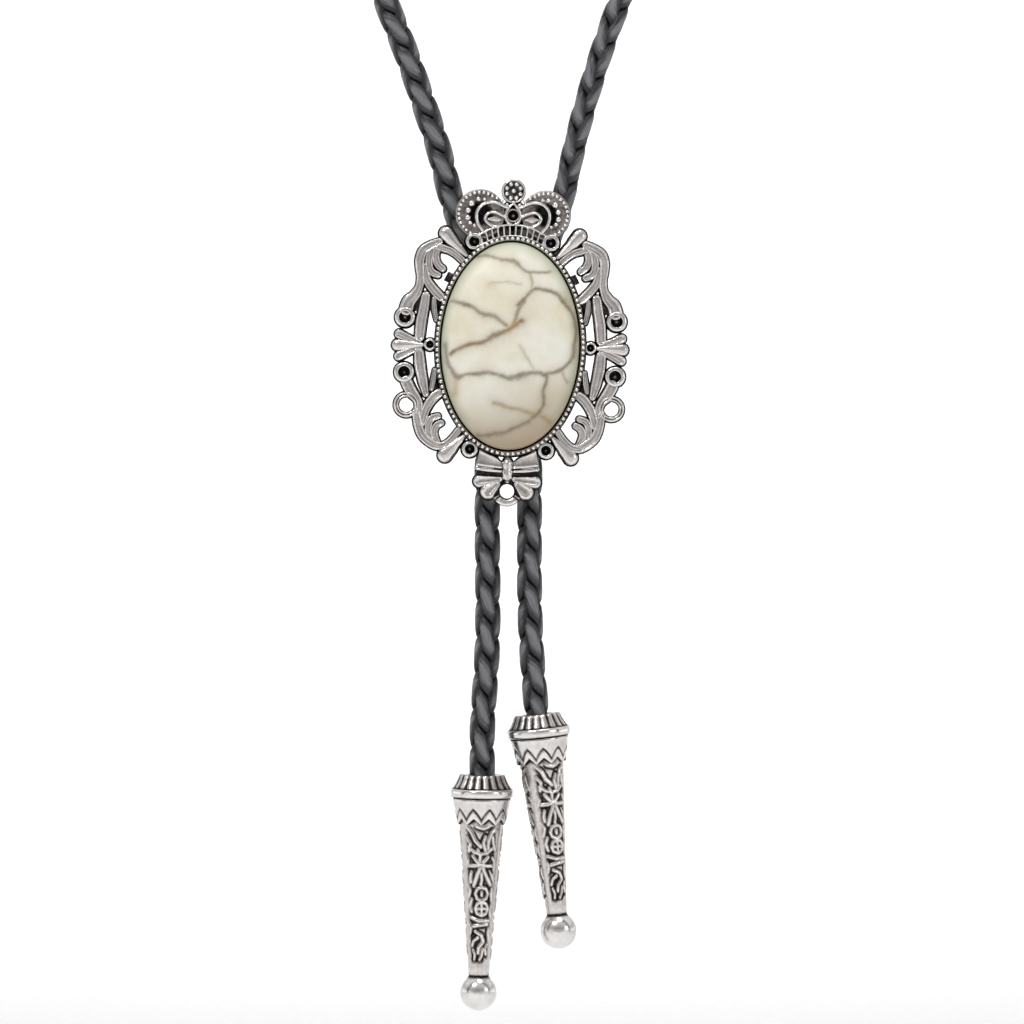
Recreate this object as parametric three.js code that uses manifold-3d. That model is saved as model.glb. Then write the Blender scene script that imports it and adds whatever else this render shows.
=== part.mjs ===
import * as THREE from 'three';
import { mergeVertices } from 'three/addons/utils/BufferGeometryUtils.js';
import Module from 'manifold-3d';

// Bolo tie: a cast openwork slide with a crown, scrolls and a bow round an oval stone, a round braided
// cord that goes once round the neck and through the clip behind the slide, and two long metal tips.
// Millimetres, +Z up. The slide faces -Y, and left and right are those of someone looking at it.
// The origin is at the nape, on the inner side of the cord, where the neck carries it.

// Clearances and cutters
const fit = 0.3;
const overshoot = 1;
const fullTurn = 360;
const weldTolerance = 1e-4;
const joinTolerance = 0.01;
const flatTolerance = 0.02;

// Stone
const stoneWidth = 26.2;
const stoneHeight = 39.4;
const stoneDepth = 6.4;
const stoneGirdle = 1.5;
const stoneFacets = 48;
const stoneRows = 6;

// Slide: bezel, borders outside it, and heights above its flat back
const bezelWall = 0.9;
const bezelTop = 3.0;
const bezelFacets = 28;
const sideBorder = 8.0;
const endBorder = 10.0;
const webThickness = 0.9;
const webMargin = 0.3;
const ribWidth = 1.5;
const ribTop = 2.0;
const ribStep = 1.5;
const webStep = 2.6;
const crestShare = 0.6;
const endFacets = 3;
const slideLean = 1.3;

// Slide: empty cups and the two open rings
const cupRadius = 1.95;
const cupPitShare = 0.56;
const cupTop = 2.3;
const ringRadius = 2.45;
const ringHole = 1.35;
const ringTop = 1.9;
const roundFacets = 12;
const clearingShare = 0.97;

// Crown
const lobeRadius = 4.5;
const crownHeartRadius = 2.7;
const flowerRadius = 2.3;
const pearlBedTop = 1.6;
const crownRimTop = 2.4;
const crownFacets = 24;
const bandSpan = 25;
const bandInner = -0.04;
const bandOuter = 0.22;
const bandSteps = 16;
const slotCount = 11;
const slotPitch = 4.2;
const slotWidth = 0.6;
const slotHeight = 1.0;

// Bow
const knotWidth = 2.6;
const knotHeight = 5.3;
const knotTop = 3.4;
const bowDiscRadius = 2.85;
const bowDiscTop = 1.95;
const bowHoleRadius = 1.35;
const bowFacets = 20;
const knotRows = 8;

// Cord
const cordDiameter = 5;
const cordSides = 10;
const cordStep = 9;
const loopHalfWidth = 64.5;
const leftTailDrop = 81.8;
const rightTailDrop = 70.2;

// Clip behind the slide
const clipPlate = 0.9;
const clipHeight = 15;
const clipTubeWall = 0.7;
const clipTubePitch = 8.2;
const clipDrop = 3;
const clipLead = 3.5;
const clipFacets = 20;

// Tips
const tipLength = 45.1;
const tipRingRadius = 6.1;
const tipBallRadius = 3.5;
const tipSocket = 8;
const tipFacets = 24;
const fluteDepth = 0.45;
const skirtTooth = 0.7;
const vineRadius = 0.5;
const vineSides = 5;
const vineStep = 2.4;

// Where the slide's middle hangs, seen from the nape, in the plane of its flat back
const slideForward = 125;
const slideDrop = 230;

const bezelHalfWidth = stoneWidth / 2 + fit + bezelWall;
const bezelHalfHeight = stoneHeight / 2 + fit + bezelWall;
const cordRadius = cordDiameter / 2;
const cordBehind = fit + clipPlate + fit + cordRadius;
const loopDepth = slideForward + cordRadius - cordBehind;
const tubeRadius = cordRadius + fit + clipTubeWall;

const silver = { color: 0xb9b6b2, roughness: 0.34, metalness: 1 };
const howlite = { color: 0xdcd8c0, roughness: 0.3, metalness: 0 };
const braid = { color: 0x2b2b2d, roughness: 0.5, metalness: 0 };

const wasm = await Module();
wasm.setup();

function solidOf(geometry) {
  const bare = geometry.clone();
  bare.deleteAttribute('normal');
  bare.deleteAttribute('uv');
  const welded = mergeVertices(bare, weldTolerance);
  return new wasm.Manifold(new wasm.Mesh({
    numProp: 3,
    vertProperties: welded.attributes.position.array,
    triVerts: new Uint32Array(welded.index.array),
    tolerance: joinTolerance,
  }));
}

function geometryOf(solid) {
  const mesh = solid.getMesh();
  const geometry = new THREE.BufferGeometry();
  geometry.setAttribute('position', new THREE.BufferAttribute(mesh.vertProperties, 3));
  geometry.setIndex(new THREE.BufferAttribute(mesh.triVerts, 1));
  return geometry;
}

function joined(solids) {
  return solids.reduce((whole, solid) => whole.add(solid));
}

// Merges the thin flat facets that many joins leave behind
function flattened(solid) {
  return solid.asOriginal().simplify(flatTolerance);
}

function piece(name, geometry, look) {
  const mesh = new THREE.Mesh(geometry, new THREE.MeshStandardMaterial(look));
  mesh.name = name;
  return mesh;
}

// The slide is drawn flat: x right, y up, z out of its flat back towards the viewer.
// A place on it is a clock angle in degrees from the crown, and a share of the border outside the bezel.
function place(clock, out, side = 1) {
  const turn = THREE.MathUtils.degToRad(clock);
  return new THREE.Vector2(
    side * (bezelHalfWidth + out * sideBorder) * Math.sin(turn),
    (bezelHalfHeight + out * endBorder) * Math.cos(turn),
  );
}

function slab(shape, bottom, top, curveSegments = 12) {
  const geometry = new THREE.ExtrudeGeometry(shape, {
    depth: top - bottom,
    bevelEnabled: false,
    curveSegments,
  });
  return geometry.translate(0, 0, bottom);
}

function ovalShape(halfWidth, halfHeight) {
  return new THREE.Shape().absellipse(0, 0, halfWidth, halfHeight, 0, 2 * Math.PI, false, 0);
}

function disc(centre, radius, bottom, top, facets = roundFacets) {
  const geometry = new THREE.CylinderGeometry(radius, radius, top - bottom, facets);
  return geometry.rotateX(Math.PI / 2).translate(centre.x, centre.y, (top + bottom) / 2);
}

// Turns a profile of (radius, height) points about an axis out of the slide
function turned(centre, profile, facets = roundFacets) {
  const points = profile.map((p) => new THREE.Vector2(p.radius, p.height));
  const geometry = new THREE.LatheGeometry(points, facets);
  return geometry.rotateX(Math.PI / 2).translate(centre.x, centre.y, 0);
}

// Ribbons of the side scrollwork. wide is a share of ribWidth, and rise a share of ribTop.
const sideRibbons = [
  { name: 'upper teardrop', rise: 1.15, path: [
    { clock: 36.3, out: 0.02, wide: 0.35 },
    { clock: 38.4, out: 0.32, wide: 0.95 },
    { clock: 39.5, out: 0.52, wide: 1.45 },
    { clock: 40.0, out: 0.68, wide: 1.65 },
  ] },
  { name: 'upper arch', rise: 0.9, path: [
    { clock: 40.4, out: 0.03, wide: 0.65 },
    { clock: 41.5, out: 0.19, wide: 0.65 },
    { clock: 43.0, out: 0.36, wide: 0.7 },
    { clock: 45.4, out: 0.53, wide: 0.75 },
    { clock: 47.0, out: 0.66, wide: 0.6 },
  ] },
  { name: 'shoulder scroll', rise: 1, path: [
    { clock: 45.0, out: 0.68, wide: 0.75 },
    { clock: 49.6, out: 0.80, wide: 0.95 },
    { clock: 53.0, out: 0.87, wide: 1.0 },
    { clock: 56.5, out: 0.84, wide: 1.0 },
    { clock: 59.2, out: 0.76, wide: 0.9 },
    { clock: 62.3, out: 0.66, wide: 0.75 },
    { clock: 66.0, out: 0.61, wide: 0.8 },
    { clock: 70.0, out: 0.65, wide: 1.15 },
    { clock: 73.5, out: 0.75, wide: 1.5 },
    { clock: 76.5, out: 0.77, wide: 1.6 },
  ] },
  { name: 'upper inner curl', rise: 0.95, path: [
    { clock: 46.2, out: 0.60, wide: 0.5 },
    { clock: 49.2, out: 0.60, wide: 0.7 },
    { clock: 51.5, out: 0.53, wide: 0.75 },
    { clock: 52.7, out: 0.41, wide: 0.75 },
    { clock: 52.5, out: 0.29, wide: 0.7 },
  ] },
  { name: 'upper outer curl', rise: 0.95, path: [
    { clock: 49.6, out: 0.70, wide: 0.35 },
    { clock: 53.0, out: 0.68, wide: 0.7 },
    { clock: 56.2, out: 0.58, wide: 0.75 },
    { clock: 57.3, out: 0.45, wide: 0.75 },
    { clock: 56.5, out: 0.32, wide: 0.65 },
  ] },
  { name: 'upper strut', rise: 0.95, path: [
    { clock: 57.5, out: 0.68, wide: 0.5 },
    { clock: 61.2, out: 0.53, wide: 0.9 },
    { clock: 63.4, out: 0.31, wide: 1.0 },
    { clock: 64.5, out: 0.14, wide: 1.0 },
    { clock: 65.0, out: 0.04, wide: 0.95 },
  ] },
  { name: 'upper leaf', rise: 1.05, path: [
    { clock: 69.7, out: 0.36, wide: 0.6 },
    { clock: 74.5, out: 0.37, wide: 0.95 },
    { clock: 80.0, out: 0.375, wide: 1.15 },
    { clock: 86.6, out: 0.375, wide: 1.1 },
  ] },
  { name: 'upper sliver', rise: 0.75, path: [
    { clock: 67.5, out: 0.20, wide: 0.35 },
    { clock: 72.0, out: 0.13, wide: 0.5 },
    { clock: 77.0, out: 0.03, wide: 0.35 },
  ] },
  { name: 'fan upper lobe', rise: 0.95, path: [
    { clock: 89.2, out: 0.38, wide: 0.4 },
    { clock: 87.7, out: 0.62, wide: 0.65 },
    { clock: 86.3, out: 0.86, wide: 0.9 },
  ] },
  { name: 'fan middle lobe', rise: 1.05, path: [
    { clock: 90.2, out: 0.30, wide: 0.4 },
    { clock: 90.3, out: 0.62, wide: 0.85 },
    { clock: 90.4, out: 0.88, wide: 1.35 },
  ] },
  { name: 'fan lower lobe', rise: 0.95, path: [
    { clock: 91.4, out: 0.38, wide: 0.4 },
    { clock: 93.0, out: 0.62, wide: 0.65 },
    { clock: 94.5, out: 0.86, wide: 0.9 },
  ] },
  { name: 'lower leaf', rise: 1.05, path: [
    { clock: 93.6, out: 0.38, wide: 1.1 },
    { clock: 99.5, out: 0.375, wide: 1.2 },
    { clock: 105.5, out: 0.36, wide: 1.05 },
    { clock: 112.5, out: 0.36, wide: 0.6 },
  ] },
  { name: 'lower sliver', rise: 0.75, path: [
    { clock: 103.0, out: 0.04, wide: 0.35 },
    { clock: 108.0, out: 0.12, wide: 0.5 },
    { clock: 111.5, out: 0.20, wide: 0.35 },
  ] },
  { name: 'link', rise: 0.95, path: [
    { clock: 104.5, out: 0.74, wide: 1.3 },
    { clock: 109.0, out: 0.67, wide: 1.3 },
    { clock: 113.5, out: 0.58, wide: 0.9 },
    { clock: 118.0, out: 0.62, wide: 0.7 },
  ] },
  { name: 'lower strut', rise: 0.95, path: [
    { clock: 115.4, out: 0.04, wide: 0.95 },
    { clock: 115.8, out: 0.19, wide: 1.05 },
    { clock: 117.5, out: 0.37, wide: 1.0 },
    { clock: 120.0, out: 0.52, wide: 0.85 },
    { clock: 123.0, out: 0.66, wide: 0.6 },
  ] },
  { name: 'lower scroll', rise: 1, path: [
    { clock: 117.5, out: 0.70, wide: 0.8 },
    { clock: 123.0, out: 0.76, wide: 0.95 },
    { clock: 127.0, out: 0.77, wide: 1.0 },
    { clock: 131.0, out: 0.71, wide: 1.0 },
    { clock: 135.0, out: 0.62, wide: 0.9 },
    { clock: 137.8, out: 0.48, wide: 0.7 },
    { clock: 139.2, out: 0.28, wide: 0.65 },
    { clock: 139.6, out: 0.03, wide: 0.65 },
  ] },
  { name: 'lower outer curl', rise: 0.95, path: [
    { clock: 125.2, out: 0.27, wide: 0.6 },
    { clock: 124.0, out: 0.42, wide: 0.7 },
    { clock: 125.4, out: 0.55, wide: 0.7 },
    { clock: 129.0, out: 0.63, wide: 0.6 },
    { clock: 134.0, out: 0.58, wide: 0.4 },
  ] },
  { name: 'lower inner curl', rise: 0.95, path: [
    { clock: 129.0, out: 0.27, wide: 0.6 },
    { clock: 128.3, out: 0.40, wide: 0.7 },
    { clock: 130.0, out: 0.52, wide: 0.7 },
    { clock: 134.5, out: 0.56, wide: 0.5 },
  ] },
  { name: 'lower teardrop', rise: 1.15, path: [
    { clock: 144.6, out: 0.02, wide: 0.35 },
    { clock: 143.0, out: 0.24, wide: 0.95 },
    { clock: 142.0, out: 0.42, wide: 1.4 },
    { clock: 141.2, out: 0.60, wide: 1.7 },
  ] },
];

// Stretches of the plain recessed web that fill the dark places between the ribbons
const sideWebs = [
  { name: 'web by the upper strut', path: [
    { clock: 66.0, out: 0.12, wide: 1.5 },
    { clock: 70.0, out: 0.20, wide: 1.7 },
    { clock: 73.5, out: 0.18, wide: 1.2 },
  ] },
  { name: 'web beside the upper cup', path: [
    { clock: 68.0, out: 0.50, wide: 0.8 },
    { clock: 72.0, out: 0.53, wide: 0.9 },
    { clock: 76.0, out: 0.52, wide: 0.7 },
  ] },
  { name: 'web by the lower strut', path: [
    { clock: 106.5, out: 0.18, wide: 1.2 },
    { clock: 110.0, out: 0.20, wide: 1.7 },
    { clock: 113.5, out: 0.16, wide: 1.5 },
  ] },
  { name: 'shard beside the bezel', path: [
    { clock: 50.5, out: 0.06, wide: 0.6 },
    { clock: 56.0, out: 0.05, wide: 0.7 },
  ] },
];

// Cups of the side scrollwork, with their radius as a share of cupRadius
const cups = [
  { clock: 28.0, out: 0.15, size: 0.87 },
  { clock: 79.7, out: 0.77, size: 1.0 },
  { clock: 90.0, out: 0.12, size: 0.62 },
  { clock: 100.8, out: 0.765, size: 1.0 },
  { clock: 152.0, out: 0.14, size: 0.82 },
];
const openRing = { clock: 113.0, out: 0.86 };

// Crown: the middles of its round parts, and the raised rims of one half
const crownLobe = { clock: 19.4, out: 0.565 };
const crownHeart = { clock: 14.3, out: 0.45 };
const crownFlower = { clock: 0, out: 0.86 };
const crownGem = { clock: 0, out: 0.395, size: 0.74 };
const crownCentre = { clock: 0, bedTop: 0.78, bedFoot: 0.15, hollowTop: 0.52, hollowFoot: 0.1 };
const crownRims = [
  { name: 'heart rim', path: [
    { clock: 4.5, out: 0.56, wide: 0.35 },
    { clock: 10.2, out: 0.68, wide: 0.35 },
    { clock: 15.6, out: 0.72, wide: 0.35 },
    { clock: 19.7, out: 0.67, wide: 0.35 },
    { clock: 21.8, out: 0.55, wide: 0.35 },
    { clock: 22.0, out: 0.38, wide: 0.35 },
    { clock: 19.8, out: 0.20, wide: 0.35 },
  ] },
  { name: 'petal', path: [
    { clock: 5.0, out: 0.37, wide: 0.35 },
    { clock: 10.0, out: 0.48, wide: 0.35 },
    { clock: 14.0, out: 0.52, wide: 0.35 },
    { clock: 17.1, out: 0.47, wide: 0.35 },
    { clock: 17.0, out: 0.37, wide: 0.35 },
    { clock: 14.0, out: 0.26, wide: 0.35 },
    { clock: 10.0, out: 0.20, wide: 0.35 },
  ] },
];

// Bow: the parts of one half, with the same columns as the ribbons
const bowRibbons = [
  { name: 'upper wing', rise: 1.1, blunt: true, path: [
    { clock: 176.0, out: 0.16, wide: 0.9 },
    { clock: 168.0, out: 0.17, wide: 1.7 },
    { clock: 159.2, out: 0.22, wide: 2.6 },
  ] },
  { name: 'upper pleat', rise: 1.35, path: [
    { clock: 175.5, out: 0.22, wide: 0.3 },
    { clock: 167.0, out: 0.25, wide: 0.35 },
    { clock: 160.0, out: 0.31, wide: 0.3 },
  ] },
  { name: 'side petal', rise: 1.15, path: [
    { clock: 175.5, out: 0.42, wide: 0.4 },
    { clock: 167.5, out: 0.52, wide: 0.85 },
    { clock: 161.6, out: 0.61, wide: 1.25 },
  ] },
  { name: 'lower petal', rise: 1.15, path: [
    { clock: 175.5, out: 0.54, wide: 0.6 },
    { clock: 172.0, out: 0.64, wide: 1.15 },
    { clock: 169.2, out: 0.71, wide: 1.6 },
  ] },
];
const bowWeb = { path: [
  { clock: 178.0, out: 0.37, wide: 1.0 },
  { clock: 162.0, out: 0.43, wide: 1.0 },
] };
const bowKnot = { clock: 180, out: 0.25 };
const bowHole = { clock: 180, out: 0.667 };

// Points of a round end: a half turn clockwise about the ribbon's last middle point
function roundEnd(middle, along, half, heading) {
  const corners = [];
  for (let facet = 1; facet < endFacets; facet += 1) {
    const swing = heading + Math.PI / 2 - (Math.PI * facet) / endFacets;
    const spoke = along.clone().multiplyScalar(half).rotateAround(new THREE.Vector2(), swing);
    corners.push(middle.clone().add(spoke));
  }
  return corners;
}

// Points round a ribbon; spread narrows it, grow widens it, and a blunt one has a square far end
function ribbonOutline(path, side, { spread = 1, grow = 0, blunt = false, stepLength = ribStep }) {
  const spine = new THREE.SplineCurve(path.map((p) => place(p.clock, p.out, side)));
  const stretches = path.length - 1;
  const steps = Math.max(2, Math.round(spine.getLength() / stepLength));
  const left = [];
  const right = [];
  const ends = [];
  for (let step = 0; step <= steps; step += 1) {
    const share = step / steps;
    const before = Math.min(Math.floor(share * stretches), stretches - 1);
    const past = share * stretches - before;
    const wide = THREE.MathUtils.lerp(path[before].wide, path[before + 1].wide, past);
    const half = (ribWidth * wide * spread) / 2 + grow;
    const middle = spine.getPoint(share);
    const along = spine.getTangent(share);
    const across = new THREE.Vector2(-along.y, along.x).multiplyScalar(half);
    left.push(middle.clone().add(across));
    right.unshift(middle.clone().sub(across));
    if (step === 0 || step === steps) {
      ends.push(roundEnd(middle, along, half, step === 0 ? Math.PI : 0));
    }
  }
  const [near, far] = ends;
  return [...left, ...(blunt ? [] : far), ...right, ...near];
}

// A ribbon from the slide's back up: its sides lean in from a wide foot to a narrower crest
function ribbon(path, side, top, blunt = false) {
  const foot = ribbonOutline(path, side, { blunt, grow: webMargin });
  const crest = ribbonOutline(path, side, { blunt, spread: crestShare });
  const geometry = slab(new THREE.Shape(foot), 0, top);
  const position = geometry.attributes.position;
  for (let i = 0; i < position.count; i += 1) {
    if (position.getZ(i) > top / 2) {
      const here = new THREE.Vector2(position.getX(i), position.getY(i));
      const nearest = foot.findIndex((point) => point.distanceTo(here) < weldTolerance);
      position.setXY(i, crest[nearest].x, crest[nearest].y);
    }
  }
  return solidOf(geometry);
}

function web(path, side) {
  const outline = ribbonOutline(path, side, { grow: webMargin, blunt: true, stepLength: webStep });
  return solidOf(slab(new THREE.Shape(outline), 0, webThickness));
}

function cup(centre, radius, top) {
  const pit = radius * cupPitShare;
  const lip = (radius - pit) / 3;
  return solidOf(turned(centre, [
    { radius: 0, height: 0 },
    { radius, height: 0 },
    { radius, height: top - lip },
    { radius: radius - lip, height: top },
    { radius: pit, height: top },
    { radius: pit, height: webThickness },
    { radius: 0, height: webThickness },
  ]));
}

function openRingSolid(centre) {
  const step = (ringRadius - ringHole) / 3;
  return solidOf(turned(centre, [
    { radius: ringHole, height: 0 },
    { radius: ringRadius, height: 0 },
    { radius: ringRadius, height: ringTop - step },
    { radius: ringRadius - step, height: ringTop },
    { radius: ringHole + step, height: ringTop },
    { radius: ringHole, height: ringTop - step },
    { radius: ringHole, height: 0 },
  ]));
}

// Hollows the place of a round part out of the frame, then sets the part in it
function setRound(frame, centre, radius, part) {
  const clearing = solidOf(disc(centre, radius * clearingShare, -overshoot, knotTop + overshoot));
  const seat = solidOf(disc(centre, radius + webMargin, 0, webThickness));
  return frame.add(seat).subtract(clearing).add(part);
}

function crownSolid() {
  const middle = (spot, side = 1) => place(spot.clock, spot.out, side);
  const beds = [disc(middle(crownFlower), flowerRadius, 0, pearlBedTop, crownFacets)];
  const hollows = [];
  const rims = [];
  for (const side of [-1, 1]) {
    const heart = middle(crownHeart, side);
    beds.push(disc(middle(crownLobe, side), lobeRadius, 0, pearlBedTop, crownFacets));
    hollows.push(disc(heart, crownHeartRadius, webThickness, crownRimTop + overshoot, crownFacets));
    for (const rim of crownRims) {
      rims.push(ribbon(rim.path, side, crownRimTop));
    }
  }
  const kite = (top, foot) => new THREE.Shape([
    middle(crownHeart, -1),
    place(crownCentre.clock, top),
    middle(crownHeart, 1),
    place(crownCentre.clock, foot),
  ]);
  const between = kite(crownCentre.bedTop, crownCentre.bedFoot);
  const dip = kite(crownCentre.hollowTop, crownCentre.hollowFoot);
  const bed = joined([...beds.map(solidOf), solidOf(slab(between, 0, pearlBedTop))]);
  const hollow = joined([
    ...hollows.map(solidOf),
    solidOf(slab(dip, webThickness, crownRimTop + overshoot)),
  ]);
  return joined([bed.subtract(hollow), ...rims, crownBand()]);
}

// The crown's base: a curved band with a row of short upright slots
function crownBand() {
  const edge = [];
  for (let step = 0; step <= bandSteps; step += 1) {
    edge.push(place(bandSpan * (2 * step / bandSteps - 1), bandInner));
  }
  for (let step = bandSteps; step >= 0; step -= 1) {
    edge.push(place(bandSpan * (2 * step / bandSteps - 1), bandOuter));
  }
  let band = solidOf(slab(new THREE.Shape(edge), 0, crownRimTop));
  for (let slot = 0; slot < slotCount; slot += 1) {
    const clock = slotPitch * (slot - (slotCount - 1) / 2);
    const middle = place(clock, bandOuter / 2);
    const depth = crownRimTop;
    const box = new THREE.BoxGeometry(slotWidth, slotHeight, depth);
    box.rotateZ(-THREE.MathUtils.degToRad(clock) * bezelHalfWidth / bezelHalfHeight);
    box.translate(middle.x, middle.y, webThickness + depth / 2);
    band = band.subtract(solidOf(box));
  }
  return band;
}

function bowSolid() {
  const parts = [];
  for (const side of [-1, 1]) {
    for (const wing of bowRibbons) {
      parts.push(ribbon(wing.path, side, ribTop * wing.rise, wing.blunt));
    }
    parts.push(web(bowWeb.path, side));
  }
  const hole = place(bowHole.clock, bowHole.out);
  parts.push(solidOf(disc(hole, bowDiscRadius, 0, bowDiscTop, bowFacets)));
  const knotMiddle = place(bowKnot.clock, bowKnot.out);
  const knot = new THREE.SphereGeometry(1, bowFacets, knotRows);
  knot.scale(knotWidth / 2, knotHeight / 2, knotTop - webThickness);
  knot.translate(knotMiddle.x, knotMiddle.y, webThickness);
  const upper = solidOf(slab(ovalShape(knotWidth, knotHeight), 0, knotTop + overshoot)
    .translate(knotMiddle.x, knotMiddle.y, 0));
  parts.push(solidOf(knot).intersect(upper));
  const bore = disc(hole, bowHoleRadius, -overshoot, knotTop + overshoot, bowFacets);
  return joined(parts).subtract(solidOf(bore));
}

// Oval tray with an upright wall that holds the stone
function bezelSolids() {
  const outer = ovalShape(bezelHalfWidth, bezelHalfHeight);
  const inner = ovalShape(stoneWidth / 2 + fit, stoneHeight / 2 + fit);
  const wall = solidOf(slab(outer, 0, bezelTop, bezelFacets));
  const well = solidOf(slab(inner, webThickness, knotTop + bezelTop, bezelFacets));
  return { wall, well };
}

function slideFrame() {
  const parts = [crownSolid(), bowSolid()];
  for (const side of [-1, 1]) {
    for (const rib of sideRibbons) {
      parts.push(ribbon(rib.path, side, ribTop * rib.rise));
    }
    for (const patch of sideWebs) {
      parts.push(web(patch.path, side));
    }
  }
  let frame = joined(parts);
  const { wall, well } = bezelSolids();
  frame = frame.add(wall);
  for (const side of [-1, 1]) {
    for (const spot of cups) {
      const centre = place(spot.clock, spot.out, side);
      const radius = cupRadius * spot.size;
      frame = setRound(frame, centre, radius, cup(centre, radius, cupTop));
    }
    const centre = place(openRing.clock, openRing.out, side);
    frame = setRound(frame, centre, ringRadius, openRingSolid(centre));
  }
  const gem = place(crownGem.clock, crownGem.out);
  const gemRadius = cupRadius * crownGem.size;
  frame = setRound(frame, gem, gemRadius, cup(gem, gemRadius, crownRimTop));
  return flattened(frame.subtract(well));
}

function cabochon() {
  const profile = [new THREE.Vector2(0, 0), new THREE.Vector2(1, 0)];
  for (let row = 0; row < stoneRows; row += 1) {
    const rise = (Math.PI / 2) * (row / stoneRows);
    const height = stoneGirdle + (stoneDepth - stoneGirdle) * Math.sin(rise);
    profile.push(new THREE.Vector2(Math.cos(rise), height));
  }
  profile.push(new THREE.Vector2(0, stoneDepth));
  const geometry = new THREE.LatheGeometry(profile, stoneFacets).rotateX(Math.PI / 2);
  geometry.scale(stoneWidth / 2, stoneHeight / 2, 1).translate(0, 0, webThickness + fit);
  return geometryOf(solidOf(geometry));
}

// Plain clip: a plate against the slide's back with a tube for each run of the cord
function backClip() {
  const plateWidth = clipTubePitch + 2 * tubeRadius;
  const plate = new THREE.BoxGeometry(plateWidth, clipHeight, clipPlate);
  plate.translate(0, 0, -fit - clipPlate / 2);
  let clip = solidOf(plate);
  for (const side of [-1, 1]) {
    const tube = new THREE.CylinderGeometry(tubeRadius, tubeRadius, clipHeight, clipFacets);
    tube.translate(side * clipTubePitch / 2, 0, -cordBehind);
    clip = clip.add(solidOf(tube));
  }
  const room = new THREE.BoxGeometry(plateWidth * 2, clipHeight * 2, cordRadius * 2);
  clip = clip.subtract(solidOf(room.translate(0, 0, cordRadius - fit)));
  for (const side of [-1, 1]) {
    const bore = new THREE.CylinderGeometry(cordRadius + fit, cordRadius + fit, clipHeight * 2, clipFacets);
    bore.translate(side * clipTubePitch / 2, 0, -cordBehind);
    clip = clip.subtract(solidOf(bore));
  }
  return geometryOf(clip).translate(0, -clipDrop, 0);
}

// A point of the slide, across, up and behind its back, in the hanging tie
function onSlide(across, up, behind) {
  const lean = THREE.MathUtils.degToRad(slideLean);
  return new THREE.Vector3(
    across * Math.cos(lean) + up * Math.sin(lean),
    -slideForward + behind,
    -slideDrop - across * Math.sin(lean) + up * Math.cos(lean),
  );
}

// The cord's way from the clip up to the nape. left and right are shares of the loop's half width,
// behind is a share of its depth, and up is a share of the slide's drop.
const routeUp = [
  { left: 0.085, right: 0.078, behind: 0, up: 0.054 },
  { left: 0.113, right: 0.102, behind: 0, up: 0.076 },
  { left: 0.144, right: 0.129, behind: 0, up: 0.099 },
  { left: 0.175, right: 0.157, behind: 0, up: 0.124 },
  { left: 0.212, right: 0.189, behind: 0, up: 0.165 },
  { left: 0.259, right: 0.226, behind: 0, up: 0.205 },
  { left: 0.31, right: 0.271, behind: 0, up: 0.246 },
  { left: 0.366, right: 0.322, behind: 0.004, up: 0.286 },
  { left: 0.488, right: 0.457, behind: 0.032, up: 0.378 },
  { left: 0.628, right: 0.612, behind: 0.097, up: 0.487 },
  { left: 0.767, right: 0.76, behind: 0.194, up: 0.6 },
  { left: 0.891, right: 0.891, behind: 0.316, up: 0.704 },
  { left: 0.977, right: 0.977, behind: 0.453, up: 0.775 },
  { left: 1, right: 1, behind: 0.607, up: 0.85 },
  { left: 0.922, right: 0.922, behind: 0.761, up: 0.915 },
  { left: 0.729, right: 0.729, behind: 0.891, up: 0.964 },
  { left: 0.403, right: 0.403, behind: 0.976, up: 0.991 },
];

// The tails from the clip down: across is a share of half the clip's pitch, down is a share of the drop
const tips = {
  left: { side: -1, across: 1.305, drop: leftTailDrop, lean: -1.0, route: [
    { across: 1.07, down: 0.245 },
    { across: 1.07, down: 0.403 },
    { across: 1.05, down: 0.55 },
    { across: 1.05, down: 0.66 },
    { across: 1.11, down: 0.742 },
    { across: 1.22, down: 0.822 },
    { across: 1.305, down: 0.903 },
  ] },
  right: { side: 1, across: 1.244, drop: rightTailDrop, lean: 5.7, route: [
    { across: 0.927, down: 0.285 },
    { across: 0.902, down: 0.47 },
    { across: 0.902, down: 0.641 },
    { across: 0.951, down: 0.769 },
    { across: 1.049, down: 0.865 },
  ] },
};

// A point in the hanging tie, measured from the cord's axis in the clip
function routePoint(across, behind, up) {
  return new THREE.Vector3(across, -slideForward + cordBehind + behind, -slideDrop + up);
}

function tailPoint(tip, across, down) {
  return routePoint(tip.side * across * clipTubePitch / 2, 0, -down * tip.drop);
}

// A plain round tube along a list of points
function tube(points, radius, sides, stepLength) {
  const path = new THREE.CatmullRomCurve3(points, false, 'centripetal');
  const section = new THREE.Shape();
  for (let corner = 0; corner < sides; corner += 1) {
    const turn = (2 * Math.PI * corner) / sides;
    const method = corner === 0 ? 'moveTo' : 'lineTo';
    section[method](radius * Math.cos(turn), radius * Math.sin(turn));
  }
  const steps = Math.max(4, Math.round(path.getLength() / stepLength));
  return new THREE.ExtrudeGeometry(section, { steps, bevelEnabled: false, extrudePath: path });
}

function cordTube(points) {
  return tube(points, cordRadius, cordSides, cordStep);
}

// A point on a clip tube's axis, above the clip's middle
function inClip(side, up) {
  return onSlide(side * clipTubePitch / 2, up - clipDrop, cordBehind);
}

function neckLoop() {
  const straight = (side) => [0, clipHeight / 2, clipHeight / 2 + clipLead]
    .map((up) => inClip(side, Math.max(up, fit / 2)));
  const run = (side, column) => routeUp.map((p) => routePoint(
    side * p[column] * loopHalfWidth,
    p.behind * loopDepth,
    p.up * slideDrop,
  ));
  const nape = routePoint(0, loopDepth, slideDrop);
  return cordTube([
    ...straight(-1), ...run(-1, 'left'), nape,
    ...run(1, 'right').reverse(), ...straight(1).reverse(),
  ]);
}

function tipTop(tip) {
  return tailPoint(tip, tip.across, 1);
}

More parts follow.
